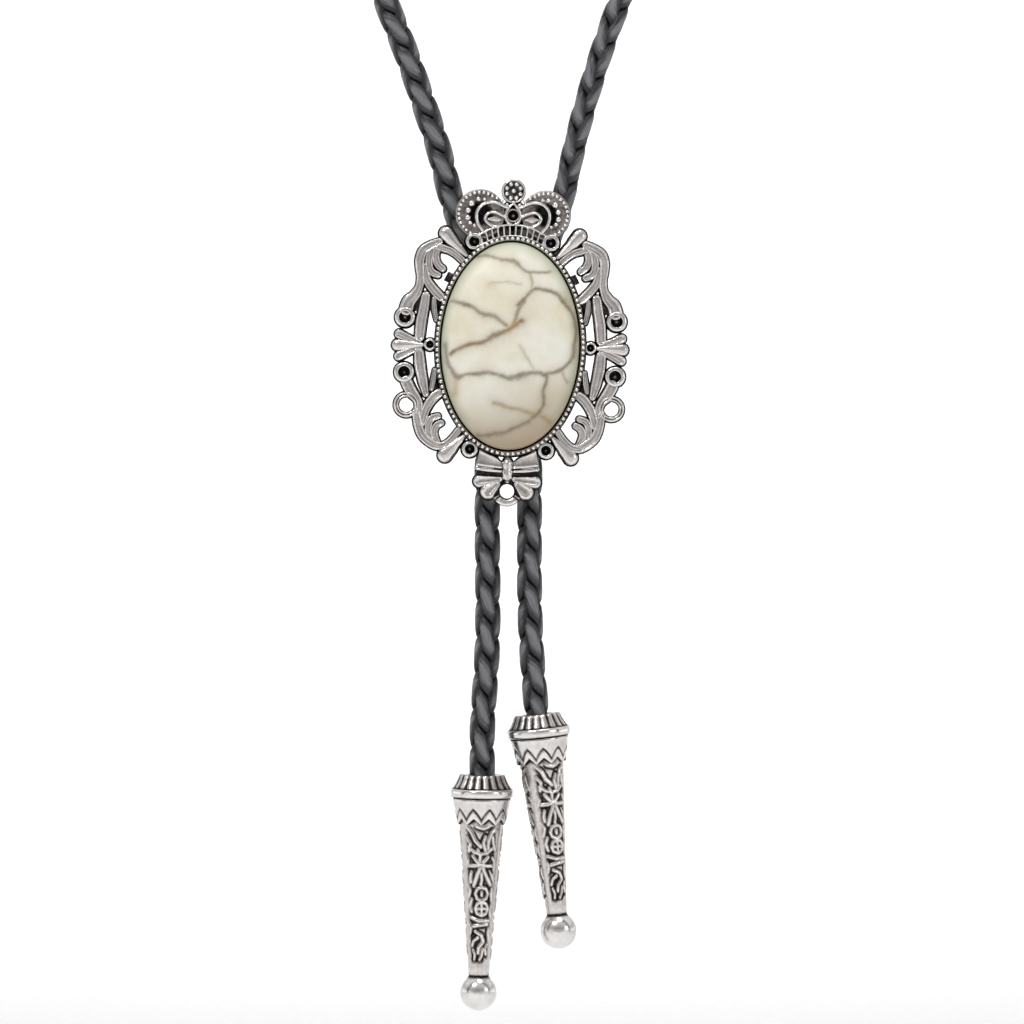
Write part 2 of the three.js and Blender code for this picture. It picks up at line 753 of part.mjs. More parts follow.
function tailCord(tip) {
  const lean = THREE.MathUtils.degToRad(tip.lean);
  const inward = new THREE.Vector3(Math.sin(lean), 0, -Math.cos(lean));
  const inSocket = (depth) => tipTop(tip).addScaledVector(inward, depth);
  return cordTube([
    ...[fit / 2, clipHeight / 4, clipHeight / 2].map((down) => inClip(tip.side, -down)),
    ...tip.route.map((p) => tailPoint(tip, p.across, p.down)),
    inSocket(0), inSocket(tipSocket / 2), inSocket(tipSocket - fit),
  ]);
}

// Tip from its mouth down: radius as a share of the ring's, depth as a share of the length
const tipProfile = [
  { radius: 0.73, depth: 0, flute: 1 },
  { radius: 0.92, depth: 0.052, flute: 1 },
  { radius: 0.97, depth: 0.058 },
  { radius: 1.0, depth: 0.066 },
  { radius: 1.0, depth: 0.088 },
  { radius: 0.94, depth: 0.098 },
  { radius: 0.80, depth: 0.19, tooth: 1 },
  { radius: 0.70, depth: 0.208, tooth: 1 },
  { radius: 0.53, depth: 0.5 },
  { radius: 0.33, depth: 0.835 },
];
const ballRows = 5;

// Radius of the tip's outside at a share of its length
function tipRadius(depth) {
  const next = tipProfile.findIndex((row) => row.depth >= depth);
  const [above, below] = [tipProfile[next - 1], tipProfile[next]];
  const past = (depth - above.depth) / (below.depth - above.depth);
  return tipRingRadius * THREE.MathUtils.lerp(above.radius, below.radius, past);
}

// The vines in relief down the tip's cone: from and to are shares of the tip's length
const vines = { count: 3, knots: 12, swing: 38, waves: 1.5, from: 0.25, to: 0.8 };

function vine(clock) {
  const points = [];
  for (let knot = 0; knot <= vines.knots; knot += 1) {
    const share = knot / vines.knots;
    const depth = THREE.MathUtils.lerp(vines.from, vines.to, share);
    const swing = vines.swing * Math.sin(2 * Math.PI * vines.waves * share);
    const turn = THREE.MathUtils.degToRad(clock + swing);
    const radius = tipRadius(depth);
    points.push(new THREE.Vector3(radius * Math.cos(turn), radius * Math.sin(turn), -depth * tipLength));
  }
  return solidOf(tube(points, vineRadius, vineSides, vineStep));
}

function tipSolid() {
  const profile = [{ radius: 0, depth: tipSocket }, { radius: cordRadius + fit, depth: tipSocket }];
  profile.push({ radius: cordRadius + fit, depth: 0 });
  for (const row of tipProfile) {
    profile.push({ ...row, radius: row.radius * tipRingRadius, depth: row.depth * tipLength });
  }
  const ballMiddle = tipLength - tipBallRadius;
  const neckTurn = Math.asin(tipProfile.at(-1).radius * tipRingRadius / tipBallRadius);
  for (let row = 0; row <= ballRows; row += 1) {
    const turn = neckTurn + (Math.PI - neckTurn) * (row / ballRows);
    const radius = row === ballRows ? 0 : tipBallRadius * Math.sin(turn);
    profile.push({ radius, depth: ballMiddle - tipBallRadius * Math.cos(turn) });
  }
  profile.reverse();
  const points = profile.map((row) => new THREE.Vector2(row.radius, -row.depth));
  const geometry = new THREE.LatheGeometry(points, tipFacets);
  const position = geometry.attributes.position;
  for (let i = 0; i < position.count; i += 1) {
    const row = profile[i % profile.length];
    const facet = Math.floor(i / profile.length) % 2;
    if (row.flute && facet) {
      const shrink = 1 - fluteDepth / row.radius;
      position.setX(i, position.getX(i) * shrink);
      position.setZ(i, position.getZ(i) * shrink);
    }
    if (row.tooth && facet) {
      position.setY(i, position.getY(i) + skirtTooth);
    }
  }
  const relief = [];
  for (let turn = 0; turn < vines.count; turn += 1) {
    relief.push(vine((fullTurn * turn) / vines.count - fullTurn / 4));
  }
  return flattened(joined([solidOf(geometry.rotateX(Math.PI / 2)), ...relief]));
}

const group = new THREE.Group();
const slide = new THREE.Group();
slide.position.set(0, -slideForward, -slideDrop);
slide.rotation.set(Math.PI / 2, THREE.MathUtils.degToRad(slideLean), 0, 'YXZ');
slide.add(piece('slide_frame', geometryOf(slideFrame()), silver));
slide.add(piece('cabochon', cabochon(), howlite));
slide.add(piece('back_clip', backClip(), silver));
group.add(slide);
group.add(piece('neck_loop', neckLoop(), braid));

for (const [name, tip] of Object.entries(tips)) {
  group.add(piece(`tail_${name}`, tailCord(tip), braid));
  const metal = piece(`tip_${name}`, geometryOf(tipSolid()), silver);
  metal.position.copy(tipTop(tip));
  metal.rotation.y = -THREE.MathUtils.degToRad(tip.lean);
  group.add(metal);
}

export default group;
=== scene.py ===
"""Bolo tie: the braided cord, the cast openwork slide with its stone, the clip behind it and the two tips.

Metres, +Z up, and the slide faces -Y. Pieces are shaped in millimetres in a plain frame of their own and
then put where the solids are.
"""

import math

import bmesh
import bpy
import numpy as np
from bpy.props import FloatProperty, FloatVectorProperty, IntProperty, PointerProperty
from mathutils import Matrix, Vector, noise


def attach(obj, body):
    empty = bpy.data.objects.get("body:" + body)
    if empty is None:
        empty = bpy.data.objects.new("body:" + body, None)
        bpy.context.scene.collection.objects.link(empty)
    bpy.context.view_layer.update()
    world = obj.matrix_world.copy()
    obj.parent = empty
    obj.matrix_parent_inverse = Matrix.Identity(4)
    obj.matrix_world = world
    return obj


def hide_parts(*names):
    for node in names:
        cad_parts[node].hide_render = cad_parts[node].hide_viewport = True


bl_info = {
    "name": "Bolo Tie Maker",
    "version": (1, 0, 0),
    "blender": (4, 5, 0),
    "location": "3D View > Sidebar > Bolo Tie",
    "description": "Makes a bolo tie: braided cord, cast silver slide with a stone, and two cast tips",
    "category": "Object",
}

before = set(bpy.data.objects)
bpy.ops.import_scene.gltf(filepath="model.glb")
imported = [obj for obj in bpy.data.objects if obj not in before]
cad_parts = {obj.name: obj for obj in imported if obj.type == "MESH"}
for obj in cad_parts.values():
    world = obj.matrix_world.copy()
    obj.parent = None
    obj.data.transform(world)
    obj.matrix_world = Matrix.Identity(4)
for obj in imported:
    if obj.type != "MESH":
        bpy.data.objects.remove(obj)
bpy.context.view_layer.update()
MM = 0.001
NODE_PITCH = 220


def linear(code):
    """The linear colour of an sRGB hex value."""
    parts = [int(code[i:i + 2], 16) / 255 for i in (0, 2, 4)]
    return tuple(p / 12.92 if p <= 0.04045 else ((p + 0.055) / 1.055) ** 2.4 for p in parts)


def millimetres(name, what, size, least):
    """A property for a length in millimetres."""
    return FloatProperty(name=name, description=what + ", mm", default=size, min=least)


def tint(name, what, code):
    """A property for a colour."""
    return FloatVectorProperty(name=name, description=what, subtype="COLOR", default=linear(code))


def number(name, what, count, least):
    """A property for how many there are of something."""
    return IntProperty(name=name, description=what, default=count, min=least)


class BoloSlideSizes(bpy.types.PropertyGroup):
    """Sizes of the cast slide"""
    lean: FloatProperty(name="Lean", description="Turn of the slide off upright, clockwise",
                        default=math.radians(1.3), subtype="ANGLE")
    bezel_half_width: millimetres("Bezel Half Width", "Outer half width of the bezel", 14.3, 5)
    bezel_half_height: millimetres("Bezel Half Height", "Outer half height of the bezel", 20.9, 5)
    side_border: millimetres("Side Border", "Width of the openwork at the sides", 8.0, 1)
    end_border: millimetres("End Border", "Width of the openwork at the ends", 10.0, 1)
    rib_width: millimetres("Rib Width", "Usual width of a ribbon of the openwork", 1.5, 0.3)
    rib_top: millimetres("Rib Height", "Usual height of a ribbon above the back", 2.0, 0.5)
    floor: millimetres("Floor", "Thickness of the recessed floors", 0.9, 0.2)
    bead_count: number("Bezel Beads", "Number of beads round the bezel's edge", 108, 12)


class BoloStoneSizes(bpy.types.PropertyGroup):
    """Sizes of the stone, and its colours"""
    half_width: millimetres("Half Width", "Half width of the stone", 13.1, 2)
    half_height: millimetres("Half Height", "Half height of the stone", 19.7, 2)
    girdle: millimetres("Girdle", "Height of the upright edge", 1.5, 0.1)
    depth: millimetres("Depth", "Full height of the dome", 6.4, 1)
    base: tint("Stone Colour", "Cream ground of the stone", "E9E6D2")
    vein: tint("Vein Colour", "Brown-grey veins of the stone", "76654F")


class BoloCordSizes(bpy.types.PropertyGroup):
    """Sizes of the braided cord, and its colour"""
    diameter: millimetres("Cord Diameter", "Outer diameter of the braid", 5.0, 1)
    lay: millimetres("Lay", "Length of one full turn of a strand", 14.0, 4)
    strand_width: millimetres("Strand Width", "Width of one flat strand", 3.7, 0.5)
    colour: tint("Leather Colour", "Colour of the dyed leather", "343437")


class BoloTipSizes(bpy.types.PropertyGroup):
    """Sizes of the cast tips"""
    length: millimetres("Tip Length", "Length of a tip", 45.1, 10)
    ball_radius: millimetres("Ball Radius", "Radius of the ball at the end", 3.5, 1)
    flutes: number("Flutes", "Number of flutes round the collar", 20, 8)
    teeth: number("Teeth", "Number of teeth round the skirt's edge", 10, 6)


SETTINGS = {
    "bolo_slide": BoloSlideSizes,
    "bolo_stone": BoloStoneSizes,
    "bolo_cord": BoloCordSizes,
    "bolo_tip": BoloTipSizes,
}


def filled(tree, node, inputs):
    """Gives a node's sockets values or links."""
    for name, value in inputs.items():
        if isinstance(value, bpy.types.NodeSocket):
            tree.links.new(value, node.inputs[name])
        else:
            node.inputs[name].default_value = value
    return node


def add_node(tree, kind, settings=None, inputs=None, stops=()):
    """Adds a node with its settings, links and values, and a ramp's stops of (position, hex colour)."""
    node = tree.nodes.new(kind)
    node.location = (NODE_PITCH * len(tree.nodes), 0)
    for name, value in (settings or {}).items():
        setattr(node, name, value)
    for index, (position, code) in enumerate(stops):
        elements = node.color_ramp.elements
        element = elements[index] if index < len(elements) else elements.new(position)
        element.position, element.color = position, (*linear(code), 1)
    return filled(tree, node, inputs or {})


def new_material(name, colour):
    """An empty material with its surface shader and the output linked."""
    material = bpy.data.materials.new(name)
    material.use_nodes = True
    material.diffuse_color = (*colour, 1)
    tree = material.node_tree
    tree.nodes.clear()
    shader = add_node(tree, "ShaderNodeBsdfPrincipled")
    add_node(tree, "ShaderNodeOutputMaterial", inputs={"Surface": shader.outputs["BSDF"]})
    return material, tree, shader


# Scales of noise on Object coordinates are repeats per metre, so 1 / (0.5 * MM) is a grain of 0.5 mm
def antique_silver():
    """Cast zinc alloy, silver plated, oxidised black in the recesses and burnished bright on the crests.

    The relief attribute runs from 0 in a recess to 1 on a crest, so the eye sees black valleys,
    grey flats and white edges. A fine cast grain of about 0.5 mm breaks up the flats.
    """
    material, tree, shader = new_material("antique_silver_cast_oxidised", linear("B4B0AD"))
    relief = add_node(tree, "ShaderNodeAttribute", {"attribute_name": "relief"}).outputs["Fac"]
    where = add_node(tree, "ShaderNodeTexCoord").outputs["Object"]
    grain = add_node(tree, "ShaderNodeTexNoise", inputs={
        "Vector": where, "Scale": 1 / (0.5 * MM), "Detail": 2.0}).outputs["Fac"]
    patches = add_node(tree, "ShaderNodeTexNoise", inputs={
        "Vector": where, "Scale": 420.0, "Detail": 3.0}).outputs["Fac"]
    worn = add_node(tree, "ShaderNodeMath", {"operation": "MULTIPLY_ADD"}, {0: grain, 1: 0.34, 2: -0.17})
    worn = add_node(tree, "ShaderNodeMath", {"operation": "MULTIPLY_ADD"}, {
        0: patches, 1: 0.44, 2: worn.outputs[0]})
    height = add_node(tree, "ShaderNodeMath", {"operation": "ADD"}, {0: relief, 1: worn.outputs[0]})
    height = add_node(tree, "ShaderNodeMath", {"operation": "SUBTRACT", "use_clamp": True}, {
        0: height.outputs[0], 1: 0.2}).outputs[0]
    colour = add_node(tree, "ShaderNodeValToRGB", inputs={"Fac": height}, stops=[
        (0.0, "1E1B1B"), (0.2, "443F3E"), (0.42, "ADA6A3"), (0.62, "D4CECA"), (0.85, "ECE9E6"),
        (1.0, "F8F6F4")])
    rough = add_node(tree, "ShaderNodeMapRange", inputs={
        "Value": height, "From Min": 0.1, "From Max": 0.95, "To Min": 0.6, "To Max": 0.15})
    bump = add_node(tree, "ShaderNodeBump", inputs={"Height": grain, "Strength": 0.3, "Distance": 0.1 * MM})
    filled(tree, shader, {
        "Base Color": colour.outputs["Color"], "Metallic": 1.0, "Roughness": rough.outputs["Result"],
        "Normal": bump.outputs["Normal"]})
    return material


def nickel_plate():
    """Nickel-plated pressed steel of the hidden clip: an even, slightly brushed grey."""
    material, tree, shader = new_material("nickel_plated_steel", linear("A9A8A6"))
    where = add_node(tree, "ShaderNodeTexCoord").outputs["Object"]
    lines = add_node(tree, "ShaderNodeMapping", inputs={"Vector": where, "Scale": (3000.0, 3000.0, 200.0)})
    brushed = add_node(tree, "ShaderNodeTexNoise", inputs={
        "Vector": lines.outputs["Vector"], "Scale": 1.0, "Detail": 2.0}).outputs["Fac"]
    colour = add_node(tree, "ShaderNodeValToRGB", inputs={"Fac": brushed}, stops=[
        (0.3, "979694"), (0.7, "BDBCBA")])
    rough = add_node(tree, "ShaderNodeMapRange", inputs={"Value": brushed, "To Min": 0.28, "To Max": 0.42})
    filled(tree, shader, {
        "Base Color": colour.outputs["Color"], "Metallic": 1.0, "Roughness": rough.outputs["Result"]})
    return material


def howlite(stone):
    """Polished howlite: a cream ground with brown-grey veins, clouded, greenish towards the edge.

    The vein attribute is 1 on a vein's middle, ochre where it is stained, rim at the stone's edge, and low
    towards its lower right, where painted shade darkens it to a grey brown.
    """
    material, tree, shader = new_material("howlite_polished", tuple(stone.base))
    where = add_node(tree, "ShaderNodeTexCoord").outputs["Object"]
    vein, ochre, rim, low = (add_node(tree, "ShaderNodeAttribute", {"attribute_name": name}).outputs["Fac"]
                             for name in ("vein", "ochre", "rim", "low"))
    clouds = add_node(tree, "ShaderNodeTexNoise", inputs={
        "Vector": where, "Scale": 120.0, "Detail": 4.0, "Roughness": 0.55})
    mottle = add_node(tree, "ShaderNodeTexNoise", inputs={"Vector": where, "Scale": 700.0, "Detail": 3.0})
    broken = add_node(tree, "ShaderNodeMapRange", inputs={
        "Value": mottle.outputs["Fac"], "From Min": 0.3, "From Max": 0.7, "To Min": 0.75, "To Max": 1.0})
    amount = add_node(tree, "ShaderNodeMath", {"operation": "MULTIPLY", "use_clamp": True}, {
        0: vein, 1: broken.outputs["Result"]})
    colour = add_node(tree, "ShaderNodeValToRGB", inputs={"Fac": clouds.outputs["Fac"]}, stops=[
        (0.3, "E6DEC4"), (0.46, "F0EBD8"), (0.60, "F6F3E6"), (0.75, "EAEEDD")]).outputs["Color"]
    # low mixes in B5A389 as painted shade towards the stone's lower right
    for share, tone in ((rim, linear("A9B294")), (low, linear("B5A389")), (amount.outputs[0], stone.vein),
                        (ochre, linear("B58F4E"))):
        colour = add_node(tree, "ShaderNodeMix", {"data_type": "RGBA"}, {
            0: share, 6: colour, 7: (*tone, 1)}).outputs[2]
    filled(tree, shader, {
        "Base Color": colour, "Roughness": 0.42, "IOR": 1.52, "Subsurface Weight": 0.06,
        "Subsurface Radius": (0.001, 0.0008, 0.0005)})
    return material


def braided_leather(cord):
    """Dyed and waxed leather lace with painted light: painted shade, near black, between strands, and a
    painted dull grey sheen along each strand's crown.

    The relief attribute is 0 where strands dive under, where shade is painted, and 1 on their crowns, where
    a sheen is painted; grain runs along the lace.
    """
    material, tree, shader = new_material("leather_lace_dyed_waxed_painted_shade_sheen", tuple(cord.colour))
    relief = add_node(tree, "ShaderNodeAttribute", {"attribute_name": "relief"}).outputs["Fac"]
    lace = add_node(tree, "ShaderNodeUVMap", {"uv_map": "lace"}).outputs["UV"]
    grain = add_node(tree, "ShaderNodeMapping", inputs={"Vector": lace, "Scale": (40.0, 300.0, 1.0)})
    fibres = add_node(tree, "ShaderNodeTexNoise", inputs={
        "Vector": grain.outputs["Vector"], "Scale": 1.0, "Detail": 3.0}).outputs["Fac"]
    patch = add_node(tree, "ShaderNodeMapping", inputs={"Vector": lace, "Scale": (2.0, 260.0, 1.0)})
    wear = add_node(tree, "ShaderNodeTexNoise", inputs={
        "Vector": patch.outputs["Vector"], "Scale": 1.0, "Detail": 2.0}).outputs["Fac"]
    uneven = add_node(tree, "ShaderNodeMath", {"operation": "MULTIPLY_ADD"}, {0: fibres, 1: 0.8, 2: -0.42})
    uneven = add_node(tree, "ShaderNodeMath", {"operation": "MULTIPLY_ADD"}, {
        0: wear, 1: 0.3, 2: uneven.outputs[0]})
    tone = add_node(tree, "ShaderNodeMath", {"operation": "ADD", "use_clamp": True}, {
        0: relief, 1: uneven.outputs[0]}).outputs[0]
    # The ramp turns relief into painted light: near-black painted shade at low relief, a grey painted sheen
    # at high relief
    colour = add_node(tree, "ShaderNodeValToRGB", inputs={"Fac": tone}, stops=[
        (0.0, "020202"), (0.35, "0E0E0F"), (0.68, "37373A"), (1.0, "7C7C80")])
    rough = add_node(tree, "ShaderNodeMapRange", inputs={"Value": tone, "To Min": 0.55, "To Max": 0.3})
    bump = add_node(tree, "ShaderNodeBump", inputs={
        "Height": fibres, "Strength": 0.35, "Distance": 0.12 * MM})
    filled(tree, shader, {
        "Base Color": colour.outputs["Color"], "Roughness": rough.outputs["Result"],
        "Normal": bump.outputs["Normal"], "IOR": 1.5, "Specular IOR Level": 0.42})
    return material


def stage_paper():
    """Matt white paper of the floor and backdrop, with a faint tooth."""
    material, tree, shader = new_material("stage_paper_matt", linear("FAFAFA"))
    where = add_node(tree, "ShaderNodeTexCoord").outputs["Object"]
    tooth = add_node(tree, "ShaderNodeTexNoise", inputs={"Vector": where, "Scale": 300.0, "Detail": 2.0})
    colour = add_node(tree, "ShaderNodeValToRGB", inputs={"Fac": tooth.outputs["Fac"]}, stops=[
        (0.3, "F8F8F8"), (0.7, "FDFDFD")])
    filled(tree, shader, {"Base Color": colour.outputs["Color"], "Roughness": 0.95})
    return material


def finished(bm, name, material, node, transform=None):
    """Turns a bmesh in millimetres into a piece in metres that rides on the tie and stands for its node."""
    bmesh.ops.recalc_face_normals(bm, faces=bm.faces)
    bmesh.ops.scale(bm, vec=(MM, MM, MM), verts=bm.verts)
    if transform is not None:
        bmesh.ops.transform(bm, matrix=transform, verts=bm.verts)
    piece = mesh_object(bm, name, material)
    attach(piece, "root")
    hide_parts(node)
    return piece


def mesh_object(bm, name, material):
    """Puts a bmesh into the scene as a smooth object of one material."""
    for face in bm.faces:
        face.smooth = True
    mesh = bpy.data.meshes.new(name)
    bm.to_mesh(mesh)
    bm.free()
    mesh.materials.append(material)
    made = bpy.data.objects.new(name, mesh)
    bpy.context.scene.collection.objects.link(made)
    return made


def cast(bm, name, node="slide_frame", transform=None):
    """Finishes a bmesh as a silver casting, which lies on the slide unless it is transformed otherwise."""
    silver = named_material("antique_silver_cast_oxidised", antique_silver)
    return finished(bm, name, silver, node, transform or slide_matrix())


def relief_layer(bm):
    """The layer that says how far each vertex stands out: 0 in a recess, 1 on a crest."""
    return bm.verts.layers.float.get("relief") or bm.verts.layers.float.new("relief")


def unique(things):
    """Each thing once, in order."""
    return list(dict.fromkeys(things))


def only_verts(geometry):
    """The vertices among what a bmesh operator made."""
    return [g for g in geometry if isinstance(g, bmesh.types.BMVert)]


def capped(bm, geometry):
    """Closes the edges among what a bmesh operator made with one face."""
    edges = [g for g in geometry if isinstance(g, bmesh.types.BMEdge)]
    bmesh.ops.contextual_create(bm, geom=edges)


def named_material(name, maker, *arguments):
    """The material of that name, made the first time it is asked for."""
    return bpy.data.materials.get(name) or maker(*arguments)


# Places on the slide: a clock angle from the crown, and a share of the border outside the bezel
def place(clock, out, side=1):
    """A point of the slide, in millimetres from its middle."""
    size = bpy.context.scene.bolo_slide
    turn = math.radians(clock)
    return Vector((side * (size.bezel_half_width + out * size.side_border) * math.sin(turn),
                   (size.bezel_half_height + out * size.end_border) * math.cos(turn)))


def slide_matrix():
    """From the slide's own frame, in metres (x right, y up, z from back to front), to the hanging tie."""
    lean = bpy.context.scene.bolo_slide.lean
    return (Matrix.Translation((0, -SLIDE_FORWARD * MM, -SLIDE_DROP * MM)) @ Matrix.Rotation(lean, 4, "Y")
            @ Matrix.Rotation(math.pi / 2, 4, "X"))


def curve_through(points, share):
    """A point of the smooth curve through the points, and the curve's direction there."""
    spans = len(points) - 1
    at = min(max(share, 0.0), 1.0) * spans
    i = min(int(at), spans - 1)
    t = at - i
    a, b = points[max(i - 1, 0)], points[i]
    c, d = points[i + 1], points[min(i + 2, spans)]
    v0, v1 = (c - a) / 2, (d - b) / 2
    spot = (2 * b - 2 * c + v0 + v1) * t ** 3 + (-3 * b + 3 * c - 2 * v0 - v1) * t ** 2 + v0 * t + b
    along = (2 * b - 2 * c + v0 + v1) * 3 * t ** 2 + (-3 * b + 3 * c - 2 * v0 - v1) * 2 * t + v0
    return spot, along.normalized()


def wide_at(path, share):
    """The ribbon's width share at a share of its length, eased between the rows."""
    spans = len(path) - 1
    at = min(max(share, 0.0), 1.0) * spans
    i = min(int(at), spans - 1)
    t = at - i
    t = t * t * (3 - 2 * t)
    return path[i][2] * (1 - t) + path[i + 1][2] * t


# Relief of what faces back; height in millimetres of a piece's first foot, and the rise with each vertex
BACK, FIRST_FOOT, FOOT_RISE = 0.45, 0.03, 1e-5
# Height in millimetres of the dark flange round a ribbon
FLANGE_TOP = 0.85
# Sections of a ribbon from its middle (0) to its edge (1): place across, height share, relief
CHANNEL = [(0.0, 0.84, 0.66), (0.22, 0.82, 0.60), (0.40, 0.78, 0.40), (0.54, 0.86, 0.66), (0.70, 1.0, 1.0),
           (0.86, 0.94, 0.90), (0.95, 0.80, 0.40), (1.0, 0.62, 0.08)]
DOME = [(0.0, 1.0, 0.82), (0.25, 0.98, 0.70), (0.45, 0.93, 0.64), (0.62, 0.90, 0.85), (0.76, 0.86, 1.0),
        (0.88, 0.72, 0.62), (0.95, 0.6, 0.25), (1.0, 0.48, 0.04)]
PETAL = [(0.0, 0.84, 0.42), (0.22, 0.85, 0.46), (0.42, 0.90, 0.78), (0.62, 1.0, 1.0), (0.80, 0.94, 0.85),
         (0.92, 0.80, 0.35), (1.0, 0.6, 0.0)]
WEB = [(0.0, 1.0, 0.2), (0.6, 1.0, 0.14), (1.0, 1.0, 0.08)]
WIRE = [(0.0, 1.0, 1.0), (0.3, 0.98, 0.98), (0.55, 0.91, 0.85), (0.75, 0.80, 0.55), (0.88, 0.66, 0.3),
        (0.96, 0.54, 0.12), (1.0, 0.42, 0.0)]


def next_foot(bm):
    """A height for the next foot of a piece, just above its others: no two feet share a plane."""
    return FIRST_FOOT + FOOT_RISE * len(bm.verts)


def ribbon(bm, path, side, top, section=CHANNEL, foot=0.0, blunt=False, step=0.4, margin=0.18):
    """Lays a ribbon along rows of (clock, out, width share): a grid bent to the path, walled down to foot.

    Its ends are round and reach past the first and last rows, unless it is blunt.
    """
    size = bpy.context.scene.bolo_slide
    relief, foot = relief_layer(bm), foot + next_foot(bm)
    points = [place(clock, out, side) for clock, out, _ in path]
    length = sum((b - a).length for a, b in zip(points, points[1:]))
    near, far = (0 if blunt else size.rib_width * path[i][2] / 2 + margin for i in (0, -1))
    caps = 0 if blunt else 4
    steps = max(6, round(length / step))
    runs = [-near * math.cos(math.pi / 2 * i / caps) for i in range(caps)]
    runs += [length * i / steps for i in range(steps + 1)]
    runs += [length + far * math.sin(math.pi / 2 * (i + 1) / caps) for i in range(caps)]
    columns = [-row[0] for row in reversed(section[1:])] + [row[0] for row in section]
    reach, heights, shines = zip(*section)
    made = bmesh.ops.create_grid(bm, x_segments=len(columns) - 1, y_segments=len(runs) - 1, size=1.0)["verts"]
    edge = [v for v in made if v.is_boundary]
    for vert in made:
        column = columns[round((vert.co.x + 1) / 2 * (len(columns) - 1))]
        run = runs[round((vert.co.y + 1) / 2 * (len(runs) - 1))]
        share = run / length
        spot, along = curve_through(points, share)
        over = (-run / near if run < 0 else (run - length) / far if run > length else 0) if not blunt else 0
        if over > 0:
            spot = spot + along * (run if run < 0 else run - length)
        narrow = math.sqrt(max(0.0, 1 - over ** 2))
        half = (size.rib_width * wide_at(path, share) / 2 + margin) * max(0.03, narrow)
        out = math.hypot(column * narrow, over) if over > 0 else abs(column)
        vert.co = (spot.x - along.y * half * column, spot.y + along.x * half * column,
                   foot + (top - foot) * float(np.interp(out, reach, heights)))
        vert[relief] = float(np.interp(out, reach, shines))
    rim = unique(e for v in edge for e in v.link_edges if e.is_boundary)
    walls = bmesh.ops.extrude_edge_only(bm, edges=rim)["geom"]
    for vert in only_verts(walls):
        vert.co.z = foot
        vert[relief] = BACK
    capped(bm, walls)


def outlined(bm, path, side, top, section=CHANNEL, **settings):
    """A ribbon on a thin dark flange that reaches a little past it."""
    ribbon(bm, path, side, FLANGE_TOP, WEB, margin=0.42)
    ribbon(bm, path, side, top, section, **settings)


def turned(bm, centre, profile, steps=24):
    """Turns rows of (radius, height, relief) about an axis out of the slide; they end on it or meet."""
    relief = relief_layer(bm)
    low = next_foot(bm)
    verts = [bm.verts.new((r, 0, z or low)) for r, z, _ in profile]
    for vert, row in zip(verts, profile):
        vert[relief] = row[2]
    edges = [bm.edges.new(pair) for pair in zip(verts, verts[1:])]
    bmesh.ops.spin(bm, geom=verts + edges, cent=(0, 0, 0), axis=(0, 0, 1), angle=2 * math.pi,
                   steps=steps, use_merge=True)
    whole = connected(verts[0])
    bmesh.ops.remove_doubles(bm, verts=whole, dist=1e-5)
    whole = [v for v in whole if v.is_valid]
    bmesh.ops.translate(bm, vec=(centre.x, centre.y, 0), verts=whole)
    return whole


def connected(start):
    """Every vertex joined to this one by edges."""
    seen, stack = {start: True}, [start]
    while stack:
        for edge in stack.pop().link_edges:
            for vert in edge.verts:
                if vert not in seen:
                    seen[vert] = True
                    stack.append(vert)
    return list(seen)


def pearl(bm, spot, radius, height, detail=8):
    """A small round grain, bright on top and dark where it sits."""
    relief = relief_layer(bm)
    made = bmesh.ops.create_uvsphere(bm, u_segments=detail, v_segments=max(4, detail // 2 + 1), radius=radius)
    for vert in made["verts"]:
        vert[relief] = min(1.0, max(0.0, 0.35 + 0.9 * vert.co.z / radius))
    bmesh.ops.translate(bm, vec=(spot.x, spot.y, height), verts=made["verts"])


def plate(bm, outline, bottom, top):
    """A flat plate with upright sides, from points round its edge."""
    relief = relief_layer(bm)
    face = bm.faces.new([bm.verts.new((p.x, p.y, bottom)) for p in outline])
    for vert in face.verts:
        vert[relief] = BACK
    bmesh.ops.recalc_face_normals(bm, faces=[face])
    if face.normal.z > 0:
        face.normal_flip()
    made = bmesh.ops.extrude_face_region(bm, geom=[face], use_keep_orig=True)["geom"]
    for vert in only_verts(made):
        vert.co.z = top
        vert[relief] = 0.0


# The cord: its way from the clip up to the nape, as in the solids. Columns: left and right, shares of the
# loop's half width; behind, a share of its depth; up, a share of the slide's drop.
LOOP_HALF_WIDTH, LOOP_DEPTH, SLIDE_DROP, SLIDE_FORWARD, BEHIND = 64.5, 123.5, 230.0, 125.0, 4.0
WAY_UP = [
    (0.085, 0.078, 0, 0.054), (0.113, 0.102, 0, 0.076), (0.144, 0.129, 0, 0.099), (0.175, 0.157, 0, 0.124),
    (0.212, 0.189, 0, 0.165), (0.259, 0.226, 0, 0.205), (0.31, 0.271, 0, 0.246), (0.366, 0.322, 0.004, 0.286),
    (0.488, 0.457, 0.032, 0.378), (0.628, 0.612, 0.097, 0.487), (0.767, 0.76, 0.194, 0.6),
    (0.891, 0.891, 0.316, 0.704), (0.977, 0.977, 0.453, 0.775), (1, 1, 0.607, 0.85),
    (0.922, 0.922, 0.761, 0.915), (0.729, 0.729, 0.891, 0.964), (0.403, 0.403, 0.976, 0.991),
]
CLIP_HALF_PITCH, CLIP_HEIGHT, CLIP_DROP, CLIP_LEAD, SOCKET, GAP = 4.1, 15.0, 3.0, 3.5, 8.0, 0.3
# The tails: side, across (a share of half the clip's pitch), drop in mm, lean in degrees, and the way down
TAILS = {
    "left": (-1, 1.305, 81.8, -1.0, [(1.07, 0.245), (1.07, 0.403), (1.05, 0.55), (1.05, 0.66),
                                     (1.11, 0.742), (1.22, 0.822), (1.305, 0.903)]),
    "right": (1, 1.244, 70.2, 5.7, [(0.927, 0.285), (0.902, 0.47), (0.902, 0.641), (0.951, 0.769),
                                    (1.049, 0.865)]),
}


def route_point(across, behind, up):
    """A point of the cord's axis in millimetres, measured from its axis in the clip."""
    return Vector((across, BEHIND - SLIDE_FORWARD + behind, up - SLIDE_DROP))


